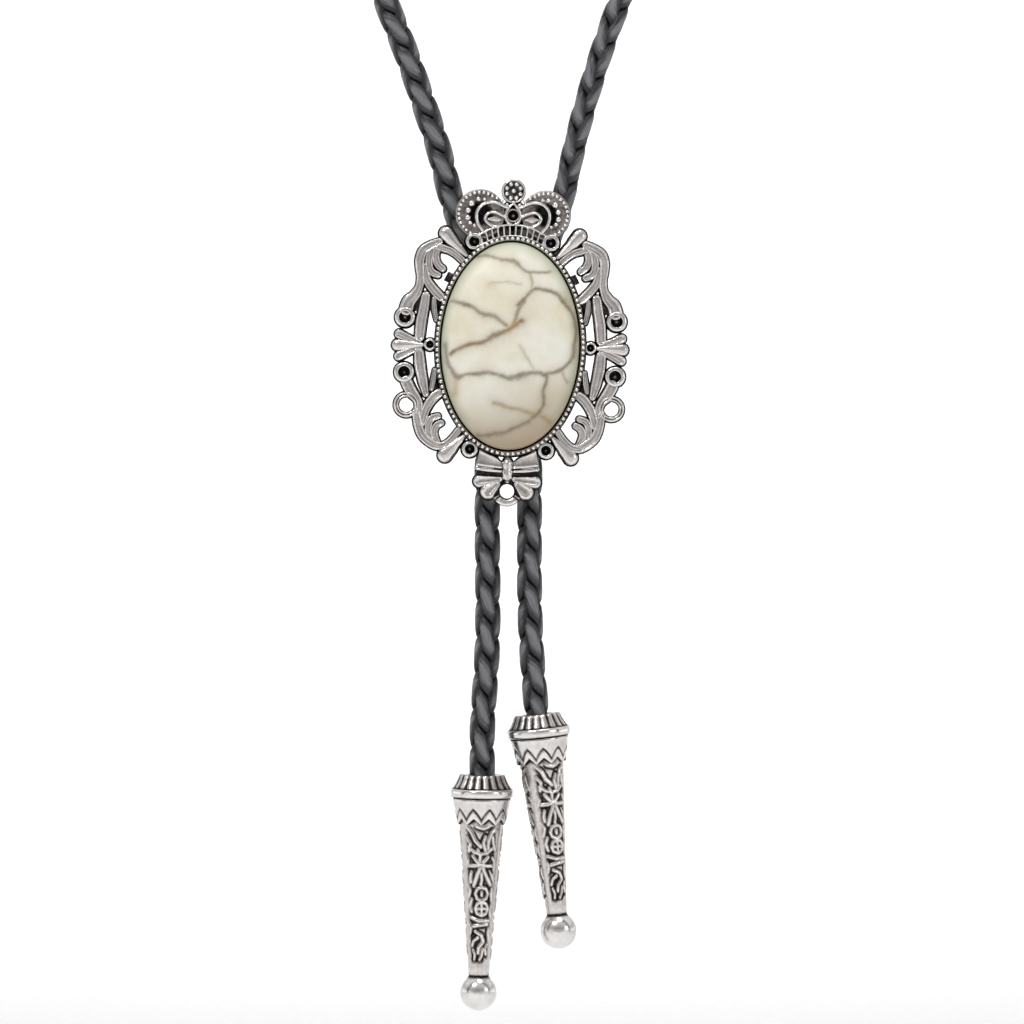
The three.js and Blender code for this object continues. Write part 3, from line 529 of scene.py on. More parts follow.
def in_clip(side, up):
    """A point on the axis of one of the clip's tubes, above the clip's middle."""
    lean, across, height = bpy.context.scene.bolo_slide.lean, side * CLIP_HALF_PITCH, up - CLIP_DROP
    return Vector((across * math.cos(lean) + height * math.sin(lean), BEHIND - SLIDE_FORWARD,
                   -SLIDE_DROP - across * math.sin(lean) + height * math.cos(lean)))


def loop_points():
    """The way of the cord from one clip tube up, round the neck, and down to the other."""
    ups = [GAP / 2, CLIP_HEIGHT / 2, CLIP_HEIGHT / 2 + CLIP_LEAD]
    scale = np.array((LOOP_HALF_WIDTH, LOOP_DEPTH, SLIDE_DROP))
    left, right = ([route_point(*(np.array((side * row[column], row[2], row[3])) * scale)) for row in WAY_UP]
                   for column, side in ((0, -1), (1, 1)))
    return ([in_clip(-1, up) for up in ups] + left + [route_point(0, LOOP_DEPTH, SLIDE_DROP)]
            + right[::-1] + [in_clip(1, up) for up in ups[::-1]])


def tail_points(name):
    """The way of one tail from the clip down into its tip."""
    side, across, drop, lean, rows = TAILS[name]
    lean = math.radians(lean)
    mouth = route_point(side * across * CLIP_HALF_PITCH, 0, -drop)
    inward = Vector((math.sin(lean), 0, -math.cos(lean)))
    return ([in_clip(side, -down) for down in (GAP / 2, CLIP_HEIGHT / 4, CLIP_HEIGHT / 2)]
            + [route_point(side * a * CLIP_HALF_PITCH, 0, -d * drop) for a, d in rows]
            + [mouth + inward * depth for depth in (0, SOCKET / 2, SOCKET - GAP)])


def smooth_line(points, spacing=1.0):
    """Points about every spacing millimetres on a centripetal curve through the given ones."""
    pts = np.array([tuple(p) for p in points])
    pts = np.vstack([2 * pts[0] - pts[1], pts, 2 * pts[-1] - pts[-2]])
    out = []
    for i in range(1, len(pts) - 2):
        a, b, c, d = pts[i - 1:i + 3]
        d0, d1, d2 = (math.sqrt(np.linalg.norm(q - p)) for p, q in ((a, b), (b, c), (c, d)))
        t1 = ((b - a) / d0 - (c - a) / (d0 + d1) + (c - b) / d1) * d1
        t2 = ((c - b) / d1 - (d - b) / (d1 + d2) + (d - c) / d2) * d1
        steps = max(2, round(float(np.linalg.norm(c - b)) / spacing * 4))
        t = np.linspace(0, 1, steps, endpoint=False)[:, None]
        out.append((2 * b - 2 * c + t1 + t2) * t ** 3 + (-3 * b + 3 * c - 2 * t1 - t2) * t ** 2 + t1 * t + b)
    fine = np.vstack(out + [pts[-2:-1]])
    run = np.concatenate([[0], np.cumsum(np.linalg.norm(np.diff(fine, axis=0), axis=1))])
    at = np.linspace(0, run[-1], max(2, round(run[-1] / spacing)) + 1)
    return at, np.stack([np.interp(at, run, fine[:, k]) for k in range(3)], axis=1)


def along_line(line):
    """For each point of a line: the direction along it, away from the neck, and across."""
    ahead = np.gradient(line, axis=0)
    ahead /= np.linalg.norm(ahead, axis=1)[:, None]
    away = np.stack([line[:, 0] * 0.5, line[:, 1] + 62.0, np.zeros(len(line))], axis=1)
    away -= (away * ahead).sum(1)[:, None] * ahead
    away /= np.linalg.norm(away, axis=1)[:, None]
    return ahead, away, np.cross(ahead, away)


def bent_grid(bm, columns, steps, shape):
    """A grid whose places (0..1 across, 0..1 along) are moved by shape: its vertices, and those places."""
    relief = relief_layer(bm)
    made = bmesh.ops.create_grid(bm, x_segments=columns, y_segments=steps, size=1.0, calc_uvs=True)["verts"]
    grid = (np.array([v.co[:2] for v in made]) + 1) / 2
    for vert, spot, value in zip(made, *shape(grid[:, 0], grid[:, 1])):
        vert.co = spot
        vert[relief] = float(value)
    return made, grid


def wrapped(bm, columns, steps, shape):
    """A closed tube: a grid bent by shape round and along, seamed and capped."""
    made, grid = bent_grid(bm, columns, steps, shape)
    seam = [v for v, (u, _) in zip(made, grid) if u < 1e-4 or u > 1 - 1e-4]
    bmesh.ops.remove_doubles(bm, verts=seam, dist=1e-4)
    open_edges = unique(e for v in made if v.is_valid for e in v.link_edges if e.is_boundary)
    bmesh.ops.holes_fill(bm, edges=open_edges, sides=0)


TOP_SHARE = 10 / 14


def braid(bm, points, phase, twist=0.0, step=0.6):
    """Four flat laces, two each way, plaited round over a core, along a way in millimetres."""
    uv = bm.loops.layers.uv.new("lace")
    size = bpy.context.scene.bolo_cord
    run, line = smooth_line(points)
    total, (_, away, across) = run[-1], along_line(line)
    radius, half, thick, weave = size.diameter / 2, size.strand_width / 2, 0.72, 0.4
    middle, straighten = radius - thick - weave, 0.34

    def spot_at(s, turn, out):
        s = np.clip(s, 0, total)
        base, up, over = (np.stack([np.interp(s, run, field[:, k]) for k in range(3)], axis=1)
                          for field in (line, away, across))
        return base + out[:, None] * (np.cos(turn)[:, None] * up + np.sin(turn)[:, None] * over)

    for hand in (1, -1):
        for start in (0, math.pi):
            def lace(u, v):
                s = v * total
                round_it = np.where(u < TOP_SHARE, math.pi * u / TOP_SHARE,
                                    math.pi * (1 + (u - TOP_SHARE) / (1 - TOP_SHARE)))
                even = hand * 2 * math.pi * s / size.lay + start
                base = phase + twist * s / total
                turn = even - hand * straighten * np.sin(2 * even) + base
                slant = np.arctan(2 * math.pi * (middle + 0.6) / size.lay
                                  * (1 - 2 * hand * straighten * np.cos(2 * even)))
                off = np.cos(round_it) * half
                turn = turn + off * np.cos(slant) / (middle + 0.6)
                there = s - hand * off * np.sin(slant)
                lift = hand * weave * np.cos(2 * (turn - base))
                out = middle + lift + thick * np.sin(round_it)
                beside = np.abs(np.cos(round_it))
                # crest paints a sheen along each strand's middle and shade at its edges, deeper where it
                # dives under another strand
                crest = (0.52 + 0.46 * np.exp(-(beside / 0.36) ** 2)) * np.clip((0.96 - beside) / 0.2, 0, 1)
                above = np.clip((lift + 0.7 * weave) / (1.2 * weave), 0, 1)
                crest *= (np.sin(round_it) > 0) * (0.12 + 0.88 * above)
                return spot_at(there, turn, out), crest
            wrapped(bm, 14, round(total / step), lace)

    def core(u, v):
        return spot_at(v * total, 2 * math.pi * u, np.full(len(u), middle - 0.1)), np.zeros(len(u))
    wrapped(bm, 12, round(total / 3), core)
    for face in bm.faces:
        for loop in face.loops:
            loop[uv].uv.y *= total * MM


# The view of the photograph, in metres: its width at the slide, and its middle
VIEW_WIDTH, VIEW_MIDDLE = 0.1946, (0.00034, -0.127, -0.2615)


class BOLO_OT_camera(bpy.types.Operator):
    """Puts the camera square in front of the slide"""
    bl_idname = "bolo.camera"
    bl_label = "Camera"

    def execute(self, context):
        data = bpy.data.cameras.new("camera")
        data.lens, data.sensor_width = 150, 36
        camera = bpy.data.objects.new("camera", data)
        context.scene.collection.objects.link(camera)
        across, ahead, up = VIEW_MIDDLE
        camera.location = (across, ahead - VIEW_WIDTH * data.lens / data.sensor_width, up)
        camera.rotation_euler = (math.pi / 2, 0, 0)
        data.clip_start, data.clip_end = 0.01, 20
        context.scene.camera = camera
        return {"FINISHED"}


class BOLO_OT_cords(bpy.types.Operator):
    """Plaits the loop round the neck and the two tails"""
    bl_idname = "bolo.cords"
    bl_label = "Braided Cords"

    def execute(self, context):
        size = context.scene.bolo_cord
        leather = named_material("leather_lace_dyed_waxed_painted_shade_sheen", braided_leather, size)
        ways = [
            ("loop_braid", "neck_loop", loop_points(), 1.6, 0.8),
            ("tail_braid_left", "tail_left", tail_points("left"), 1.55, 0.0),
            ("tail_braid_right", "tail_right", tail_points("right"), 1.35, 0.0),
        ]
        for name, node, points, phase, twist in ways:
            bm = bmesh.new()
            braid(bm, points, phase, twist)
            finished(bm, name, leather, node)
        return {"FINISHED"}


# Ribbons of the side scrollwork: name, height share, section, and rows of (clock, out, width share)
SIDE_RIBBONS = [
    ("upper teardrop", 1.15, DOME, [(36.3, 0.02, 0.35), (38.4, 0.32, 0.95), (39.5, 0.52, 1.45),
        (40.0, 0.68, 1.65)]),
    ("upper arch", 0.9, CHANNEL, [(40.4, 0.03, 0.65), (41.5, 0.19, 0.65), (43.0, 0.36, 0.7),
        (45.4, 0.53, 0.75), (47.0, 0.66, 0.6)]),
    ("shoulder scroll", 1, CHANNEL, [(45.0, 0.68, 0.75), (49.6, 0.80, 0.95), (53.0, 0.87, 1.0),
        (56.5, 0.84, 1.0), (59.2, 0.76, 0.9), (62.3, 0.66, 0.75), (66.0, 0.61, 0.8), (70.0, 0.65, 1.15),
        (73.5, 0.75, 1.5), (76.5, 0.77, 1.6)]),
    ("upper inner curl", 0.95, CHANNEL, [(46.2, 0.60, 0.5), (49.2, 0.60, 0.7), (51.5, 0.53, 0.75),
        (52.7, 0.41, 0.75), (52.5, 0.29, 0.7)]),
    ("upper outer curl", 0.95, CHANNEL, [(49.6, 0.70, 0.35), (53.0, 0.68, 0.7), (56.2, 0.58, 0.75),
        (57.3, 0.45, 0.75), (56.5, 0.32, 0.65)]),
    ("upper strut", 0.95, CHANNEL, [(57.5, 0.68, 0.5), (61.2, 0.53, 0.9), (63.4, 0.31, 1.0),
        (64.5, 0.14, 1.0), (65.0, 0.04, 0.95)]),
    ("upper leaf", 1.05, CHANNEL, [(68.2, 0.40, 0.9), (74.5, 0.37, 1.1), (80.0, 0.375, 1.2),
        (86.6, 0.375, 1.1)]),
    ("upper sliver", 0.75, CHANNEL, [(67.5, 0.20, 0.35), (72.0, 0.13, 0.5), (77.0, 0.03, 0.35)]),
    ("fan upper lobe", 0.95, CHANNEL, [(89.2, 0.38, 0.4), (87.7, 0.62, 0.75), (86.3, 0.86, 1.0)]),
    ("fan middle lobe", 1.05, DOME, [(90.2, 0.30, 0.4), (90.3, 0.62, 0.95), (90.4, 0.88, 1.4)]),
    ("fan lower lobe", 0.95, CHANNEL, [(91.4, 0.38, 0.4), (93.0, 0.62, 0.75), (94.5, 0.86, 1.0)]),
    ("lower leaf", 1.05, CHANNEL, [(93.6, 0.38, 1.1), (99.5, 0.375, 1.25), (105.5, 0.36, 1.1),
        (112.5, 0.36, 0.6)]),
    ("lower sliver", 0.75, CHANNEL, [(103.0, 0.04, 0.35), (108.0, 0.12, 0.5), (111.5, 0.20, 0.35)]),
    ("link", 0.95, CHANNEL, [(104.5, 0.74, 1.3), (109.0, 0.67, 1.3), (113.5, 0.58, 0.9),
        (118.0, 0.62, 0.7)]),
    ("lower strut", 0.95, CHANNEL, [(115.4, 0.04, 0.95), (115.8, 0.19, 1.05), (117.5, 0.37, 1.0),
        (120.0, 0.52, 0.85), (123.0, 0.66, 0.6)]),
    ("lower scroll", 1, CHANNEL, [(117.5, 0.70, 0.8), (123.0, 0.76, 0.95), (127.0, 0.77, 1.0),
        (131.0, 0.71, 1.0), (135.0, 0.62, 0.9), (137.8, 0.48, 0.7), (139.2, 0.28, 0.65),
        (139.6, 0.03, 0.65)]),
    ("lower outer curl", 0.95, CHANNEL, [(125.2, 0.27, 0.6), (124.0, 0.42, 0.7), (125.4, 0.55, 0.7),
        (129.0, 0.63, 0.6), (134.0, 0.58, 0.4)]),
    ("lower inner curl", 0.95, CHANNEL, [(129.0, 0.27, 0.6), (128.3, 0.40, 0.7), (130.0, 0.52, 0.7),
        (134.5, 0.56, 0.5)]),
    ("lower teardrop", 1.15, DOME, [(144.6, 0.02, 0.35), (143.0, 0.24, 0.95), (142.0, 0.42, 1.4),
        (141.2, 0.60, 1.7)]),
]
# Stretches of the dark recessed web between the ribbons: rows of (clock, out, width share)
SIDE_WEBS = [
    [(66.0, 0.12, 1.5), (70.0, 0.20, 1.7), (73.5, 0.18, 1.2)],
    [(68.0, 0.50, 0.8), (72.0, 0.53, 0.9), (76.0, 0.52, 0.7)],
    [(106.5, 0.18, 1.2), (110.0, 0.20, 1.7), (113.5, 0.16, 1.5)],
    [(50.5, 0.06, 0.6), (56.0, 0.05, 0.7)],
]
# Cups: clock, out, radius in mm
SIDE_CUPS = [(28.0, 0.15, 1.7), (79.7, 0.77, 1.95), (90.0, 0.12, 1.21), (100.8, 0.765, 1.95),
             (152.0, 0.14, 1.6)]
OPEN_RING = (113.0, 0.86, 2.45, 1.35)


def cup(bm, centre, radius, top, steps=32):
    """An empty setting: a bright ring round a dark pit, with a small raised dome in it whose grey is a
    painted glint.
    """
    pit = radius * 0.55
    turned(bm, centre, [
        # The middle rows carry the painted glint: a lighter relief on the small dome at the bottom of the pit
        (0, 1.25, 0.42), (pit * 0.3, 1.15, 0.2), (pit * 0.55, 0.95, 0.0), (pit * 0.98, 0.95, 0.0),
        (pit, top * 0.7, 0.05),
        (pit + 0.05, top * 0.93, 0.5), (pit + 0.18, top, 0.95), (radius * 0.72, top * 0.97, 0.6),
        (radius * 0.84, top * 0.99, 0.95), (radius - 0.1, top * 0.9, 0.8), (radius, top * 0.7, 0.1),
        (radius + 0.02, 0.9, 0.0), (radius + 0.26, FLANGE_TOP, 0.0), (radius + 0.26, 0, BACK), (0, 0, BACK),
    ], steps)


class BOLO_OT_scrollwork(bpy.types.Operator):
    """Casts the openwork of both sides: ribbons, webs, fans, cups and rings"""
    bl_idname = "bolo.scrollwork"
    bl_label = "Scrollwork"

    def execute(self, context):
        size = context.scene.bolo_slide
        for side, name in ((-1, "left"), (1, "right")):
            bm = bmesh.new()
            for _, rise, section, path in SIDE_RIBBONS:
                outlined(bm, path, side, size.rib_top * rise, section)
            for path in SIDE_WEBS:
                ribbon(bm, path, side, size.floor, WEB, blunt=True, margin=0.3)
            for clock, out, radius in SIDE_CUPS:
                cup(bm, place(clock, out, side), radius, 2.3)
            clock, out, radius, hole = OPEN_RING
            turned(bm, place(clock, out, side), [
                (hole, 0.0, BACK), (hole, 1.2, 0.0), (hole + 0.14, 1.4, 0.0), (hole + 0.24, 1.75, 0.75),
                (hole + 0.40, 1.75, 0.85), (hole + 0.54, 1.5, 0.15), (radius - 0.4, 1.6, 0.35),
                (radius - 0.28, 1.9, 0.9),
                (radius - 0.1, 1.8, 0.85), (radius, 1.4, 0.2), (radius + 0.05, 0.9, 0.0),
                (radius + 0.25, 0.85, 0.0),
                (radius + 0.25, 0.0, BACK), (hole, 0.0, BACK),
            ], 40)
            cast(bm, f"scrollwork_{name}")
        return {"FINISHED"}


# Crown: rims of one half, rows of (clock, out, width share)
HEART_RIM = [(4.5, 0.56, 0.54), (10.2, 0.68, 0.54), (15.6, 0.72, 0.54), (19.7, 0.67, 0.54),
             (21.8, 0.55, 0.54), (22.0, 0.38, 0.54), (19.8, 0.20, 0.54)]
PETAL_RIM = [(5.0, 0.37, 0.46), (10.0, 0.48, 0.46), (14.0, 0.52, 0.46), (17.1, 0.47, 0.46),
             (17.0, 0.37, 0.46), (14.0, 0.26, 0.46), (10.0, 0.20, 0.46)]
PETAL_LENS = [(7.6, 0.33, 0.3), (11.6, 0.37, 0.85), (15.4, 0.41, 0.4)]
ALMOND_RIM = [(0, 0.62, 0.3), (3.0, 0.53, 0.46), (4.7, 0.40, 0.38), (3.4, 0.27, 0.46), (0, 0.21, 0.3)]
# Each with its section and the height of its top in mm
CROWN_RIBBONS = [(HEART_RIM, WIRE, 2.4), (PETAL_RIM, WIRE, 2.4), (PETAL_LENS, DOME, 1.95),
                 (ALMOND_RIM, WIRE, 2.6)]
# Second row of grains of a lobe: angle in degrees from across, distance from the lobe's middle, radius
LOBE_GRAINS = [(55, 3.0, 0.28), (75.5, 2.92, 0.4), (98, 2.84, 0.5), (131, 2.6, 0.66), (165, 2.4, 0.62),
               (198, 2.5, 0.6), (222, 2.6, 0.45), (245, 2.5, 0.36)]


def around(centre, angle, reach, side):
    """A point round a centre: its angle in degrees from across, mirrored on the right side."""
    turn = math.radians(angle)
    return centre + Vector((-side * reach * math.cos(turn), reach * math.sin(turn)))


class BOLO_OT_crown(bpy.types.Operator):
    """Casts the crown: grained lobes and flower, heart and petal rims, and the slotted band"""
    bl_idname = "bolo.crown"
    bl_label = "Crown"

    def execute(self, context):
        bm = bmesh.new()
        bed, rim = 1.6, 2.4
        for side in (-1, 1):
            lobe = place(19.4, 0.565, side)
            turned(bm, lobe, [(0, bed - 0.5, 0.0), (1.9, bed - 0.5, 0.0), (2.1, bed, 0.1), (2.6, bed, 0.32),
                              (4.3, bed, 0.3), (4.42, bed + 0.1, 0.42), (4.62, bed, 0.45),
                              (4.75, bed - 0.3, 0.1), (4.75, 0.15, 0.0), (4.75, 0, BACK), (0, 0, BACK)], 56)
            for i in range(20):
                angle = 20 + i * 12.4
                reach = 4.08 + 1.1 * max(0.0, (60 - angle) / 36) ** 1.5
                pearl(bm, around(lobe, angle, reach, side), 0.37, bed + 0.15)
            for angle, reach, radius in LOBE_GRAINS:
                pearl(bm, around(lobe, angle, reach, side), radius, bed + 0.05, 10)
            for way, section, top in CROWN_RIBBONS:
                ribbon(bm, way, side, top, section, step=0.3, margin=0.08)
        plate(bm, [place(14.3, 0.45, -1), place(0, 0.80), place(14.3, 0.45, 1), place(0, 0.1)], 0.1, 1.1)
        gem = place(0, 0.395)
        turned(bm, gem, [(0, 1.35, 0.5), (0.35, 1.2, 0.15), (0.6, 1.0, 0.0), (0.95, 1.0, 0.0),
                         (1.0, 2.1, 0.3), (1.15, 2.3, 0.8), (1.3, 2.0, 0.3), (1.35, 0, 0.0),
                         (0, 0, BACK)], 28)
        flower = place(0, 0.86)
        turned(bm, flower, [(0, bed, 0.2), (1.9, bed, 0.22), (2.0, bed + 0.2, 0.7), (2.22, bed + 0.2, 0.9),
                            (2.35, bed - 0.1, 0.2), (2.35, 0.15, 0.0), (2.35, 0, BACK), (0, 0, BACK)], 36)
        pearl(bm, flower, 0.46, bed + 0.2, 10)
        for i in range(8):
            pearl(bm, around(flower, 45 * (i + 0.5), 1.38, -1), 0.43, bed + 0.12, 10)
        for row, radius in ((0.59, 0.42), (0.665, 0.36)):
            for clock in ((-1.6, 1.6) if row > 0.6 else (0,)):
                pearl(bm, place(clock, row + 0.05), radius, bed + 0.1, 8)
        ribbon(bm, [(c, 0.09, 2.1) for c in (-25, -12, 0, 12, 25)], 1, 1.1, WEB, blunt=True, margin=0)
        for out in (0.005, 0.215):
            ribbon(bm, [(c, out, 0.44) for c in (-25, -12, 0, 12, 25)], 1, rim, WIRE, margin=0.0)
        for post in range(12):
            clock = 4.2 * (post - 5.5)
            way = [(clock, out, 0.4) for out in (0.02, 0.11, 0.2)]
            ribbon(bm, way, 1, rim - 0.15, WIRE, step=0.3, margin=0.0)
        cast(bm, "crown")
        return {"FINISHED"}


# Bow: parts of one half: height share, section, blunt end, rows of (clock, out, width share)
BOW_PARTS = [
    (1.05, [(0.0, 0.84, 0.50), (0.5, 0.86, 0.55), (0.70, 0.93, 0.72), (0.84, 1.0, 1.0), (0.95, 0.8, 0.3),
            (1.0, 0.6, 0.0)], True, [(176.0, 0.185, 0.5), (168.0, 0.17, 1.7), (159.2, 0.22, 2.6)]),
    (1.4, WIRE, False, [(175.5, 0.22, 0.4), (167.0, 0.25, 0.46), (160.6, 0.30, 0.4)]),
    (1.3, WIRE, False, [(175.5, 0.30, 0.4), (167.5, 0.335, 0.46), (161.2, 0.385, 0.4)]),
    (1.2, PETAL, False, [(175.5, 0.45, 0.55), (168.0, 0.53, 1.15), (164.0, 0.59, 1.5)]),
    (1.2, PETAL, False, [(174.0, 0.55, 0.8), (171.2, 0.66, 1.5), (169.8, 0.72, 1.95)]),
]


class BOLO_OT_bow(bpy.types.Operator):
    """Casts the bow under the stone: pleated wings, petals, knot and the pierced disc"""
    bl_idname = "bolo.bow"
    bl_label = "Bow"

    def execute(self, context):
        size = context.scene.bolo_slide
        bm = bmesh.new()
        for side in (-1, 1):
            for rise, section, blunt, path in BOW_PARTS:
                ribbon(bm, path, side, size.rib_top * rise, section, blunt=blunt, step=0.35, margin=0.12)
                if section is not WIRE:
                    ribbon(bm, path, side, FLANGE_TOP, WEB, blunt=blunt, margin=0.4)
            ribbon(bm, [(178.0, 0.33, 2.6), (160.5, 0.38, 2.6)], side, 1.0, WEB, blunt=True)
        hole = place(180, 0.667)
        relief = relief_layer(bm)
        disc = turned(bm, hole, [(1.35, 0, BACK), (1.35, 1.3, 0.0), (1.42, 1.5, 0.05), (1.6, 1.55, 0.15),
                                 (1.75, 1.75, 0.75), (2.1, 1.8, 0.62), (2.45, 1.8, 0.85), (2.68, 1.75, 1.0),
                                 (2.82, 1.5, 0.4), (2.9, 1.2, 0.0), (2.9, 0, BACK), (1.35, 0, BACK)], 96)
        for vert in disc:
            turn = math.degrees(math.atan2(vert.co.y - hole.y, abs(vert.co.x - hole.x)))
            groove = math.exp(-((turn + 36) / 5) ** 2) + min(1.0, max(0.0, (turn + 30) / 8))
            if vert.co.z > 1.2:
                vert.co.z -= 0.5 * min(1.0, groove)
                vert[relief] *= 1 - 0.95 * min(1.0, groove)
        knot = place(180, 0.25)
        made = bmesh.ops.create_uvsphere(bm, u_segments=24, v_segments=16, radius=1.0)["verts"]
        for vert in made:
            side_on = abs(vert.co.x)
            # The knot's relief paints two upright highlights and shade down its sides, and is lighter towards
            # its lower end
            painted_highlights = 0.58 + 0.42 * math.exp(-((side_on - 0.42) / 0.2) ** 2)
            vert[relief] = painted_highlights - 2.2 * max(0.0, side_on - 0.78) + 0.3 * max(0.0, -vert.co.y - 0.55)
            pinch = 1 - 0.22 * math.exp(-(vert.co.y / 0.35) ** 2)
            vert.co = (knot.x + vert.co.x * 1.5 * pinch, knot.y + vert.co.y * 2.65,
                       0.95 + vert.co.z * 2.4 * pinch)
        joined = unique(e for v in made for e in v.link_edges) + unique(f for v in made for f in v.link_faces)
        cut = bmesh.ops.bisect_plane(bm, geom=made + joined, plane_co=(0, 0, 0.05), plane_no=(0, 0, -1),
                                     clear_outer=True)
        capped(bm, cut["geom_cut"])
        cast(bm, "bow")
        return {"FINISHED"}


class BOLO_OT_bezel(bpy.types.Operator):
    """Casts the oval tray with its beaded wall"""
    bl_idname = "bolo.bezel"
    bl_label = "Bezel"

    def execute(self, context):
        size = context.scene.bolo_slide
        bm = bmesh.new()
        wide, high = size.bezel_half_width, size.bezel_half_height
        section = [(-0.9, 0.9, 0.2), (-0.9, 2.5, 0.4), (-0.78, 2.75, 0.6), (-0.6, 2.8, 0.25),
                   (-0.15, 2.7, 0.15), (0.0, 2.45, 0.35), (0.0, 1.4, 0.1), (0.25, 1.1, 0.0),
                   (0.25, 0.15, 0.0), (0.25, 0.0, BACK), (-0.9, 0.0, BACK)]
        offsets, heights, shines = (np.array(column) for column in zip(*section))

        def oval(u, v):
            turn, row = 2 * math.pi * v, u * len(section)
            columns = np.arange(len(section) + 1)
            off, up, shine = (np.interp(row, columns, np.append(c, c[0])) for c in (offsets, heights, shines))
            normal = np.stack([np.cos(turn) * high, np.sin(turn) * wide], axis=1)
            normal /= np.linalg.norm(normal, axis=1)[:, None]
            return np.stack([wide * np.cos(turn) + off * normal[:, 0],
                             high * np.sin(turn) + off * normal[:, 1],
                             up], axis=1), shine
        bmesh.ops.remove_doubles(bm, verts=bent_grid(bm, len(section), 180, oval)[0], dist=1e-4)
        plate(bm, [Vector(((wide - 0.8) * math.cos(t), (high - 0.8) * math.sin(t)))
                   for t in (2 * math.pi * i / 96 for i in range(96))], 0.02, size.floor)
        for vert in bm.verts:
            if vert.co.z < 0.03:
                vert[relief_layer(bm)] = BACK
        turns = np.linspace(0, 2 * math.pi, 2000)
        spans = np.hypot(np.diff(wide * np.sin(turns)), np.diff(high * np.cos(turns)))
        run = np.concatenate([[0], np.cumsum(spans)])
        for bead in range(size.bead_count):
            turn = float(np.interp(run[-1] * bead / size.bead_count, run, turns))
            pearl(bm, Vector(((wide - 0.45) * math.sin(turn), (high - 0.45) * math.cos(turn))), 0.42, 2.72, 8)
        cast(bm, "bezel")
        return {"FINISHED"}


# Veins of the stone in millimetres from its middle: half width, strength, stain, and the way
VEINS = [
    (0.30, 0.85, 0.0, [(-6.36, 16.72), (-2.96, 16.58), (-0.41, 16.22), (1.74, 15.21), (3.46, 14.18),
                       (7.28, 14.27)]),
    (0.26, 0.60, 0.0, [(3.46, 14.18), (3.74, 11.01)]),
    (0.34, 0.95, 0.1, [(1.49, 7.56), (3.14, 9.72), (5.66, 10.71), (8.64, 10.06), (10.82, 7.77),
                       (12.09, 3.98), (12.27, -0.25), (11.28, -3.25), (8.98, -4.78), (6.02, -5.19)]),
    (0.40, 1.00, 0.3, [(-11.03, -1.84), (-7.67, -0.07), (-4.72, 0.63), (-1.79, 2.40), (0.31, 3.29),
                       (1.98, 4.39)]),
    (0.32, 0.85, 0.1, [(0.51, 3.72), (1.52, 6.29), (3.14, 9.72)]),
    (0.34, 0.90, 0.1, [(-11.26, 8.33), (-8.27, 7.55), (-5.69, 6.13), (-3.13, 5.34), (-0.98, 3.90)]),
    (0.22, 0.35, 0.0, [(-4.12, 11.68), (1.39, 11.80)]),
    (0.34, 0.90, 0.0, [(-9.65, -6.48), (-6.71, -5.35), (-4.17, -4.96), (-1.60, -5.87), (0.95, -6.37),
                       (3.49, -5.76), (5.16, -4.87), (6.02, -5.19)]),
    (0.32, 0.90, 0.1, [(5.16, -4.87), (6.88, -5.89), (6.75, -9.29), (5.76, -12.28), (4.51, -13.58)]),
    (0.32, 0.85, 0.1, [(-5.59, -17.0), (-2.21, -16.71), (1.17, -15.78), (4.10, -14.23)]),
    (0.26, 0.50, 0.6, [(-3.19, -10.79), (-0.20, -11.78), (2.79, -12.35), (5.78, -13.13), (7.92, -14.14)]),
    (0.22, 0.40, 0.0, [(2.09, -0.49), (3.41, -2.58), (4.51, -4.25)]),
    (0.34, 0.85, 0.0, [(-12.34, 0.04), (-11.62, -3.77), (-10.95, -5.45), (-9.65, -6.48)]),
    (0.50, 0.10, 0.7, [(-10.27, -7.13), (-10.44, -9.26)]),
    (0.26, 0.60, 0.0, [(10.26, -4.97), (11.14, -6.64)]),
    (0.75, 0.35, 0.9, [(0.1, 3.2), (0.9, 3.7)]),
]


# How the veins wander off their ways: steps per mm, reach in mm, and the seeds across and up
WANDER = [(0.3, 0.7, (3.0, 9.0)), (1.3, 0.16, (5.0, 7.0))]


def stroke_field(spots, points, half_width):
    """How near each place of a plane is to a line: 1 on it, fading over its half width."""
    nearest = np.full(len(spots), 1e9)
    for a, b in zip(points, points[1:]):
        a, b = np.array(a), np.array(b)
        span = b - a
        share = np.clip(((spots - a) @ span) / (span @ span), 0, 1)
        nearest = np.minimum(nearest, np.linalg.norm(spots - a - share[:, None] * span, axis=1))
    return np.exp(-(nearest / half_width) ** 2 * 0.9)


def smooth_way(points, pieces=6):
    """The smooth way through flat points, cut into short straight pieces."""
    knots = [Vector(p) for p in points]
    count = pieces * (len(knots) - 1)
    return [tuple(curve_through(knots, i / count)[0]) for i in range(count + 1)]


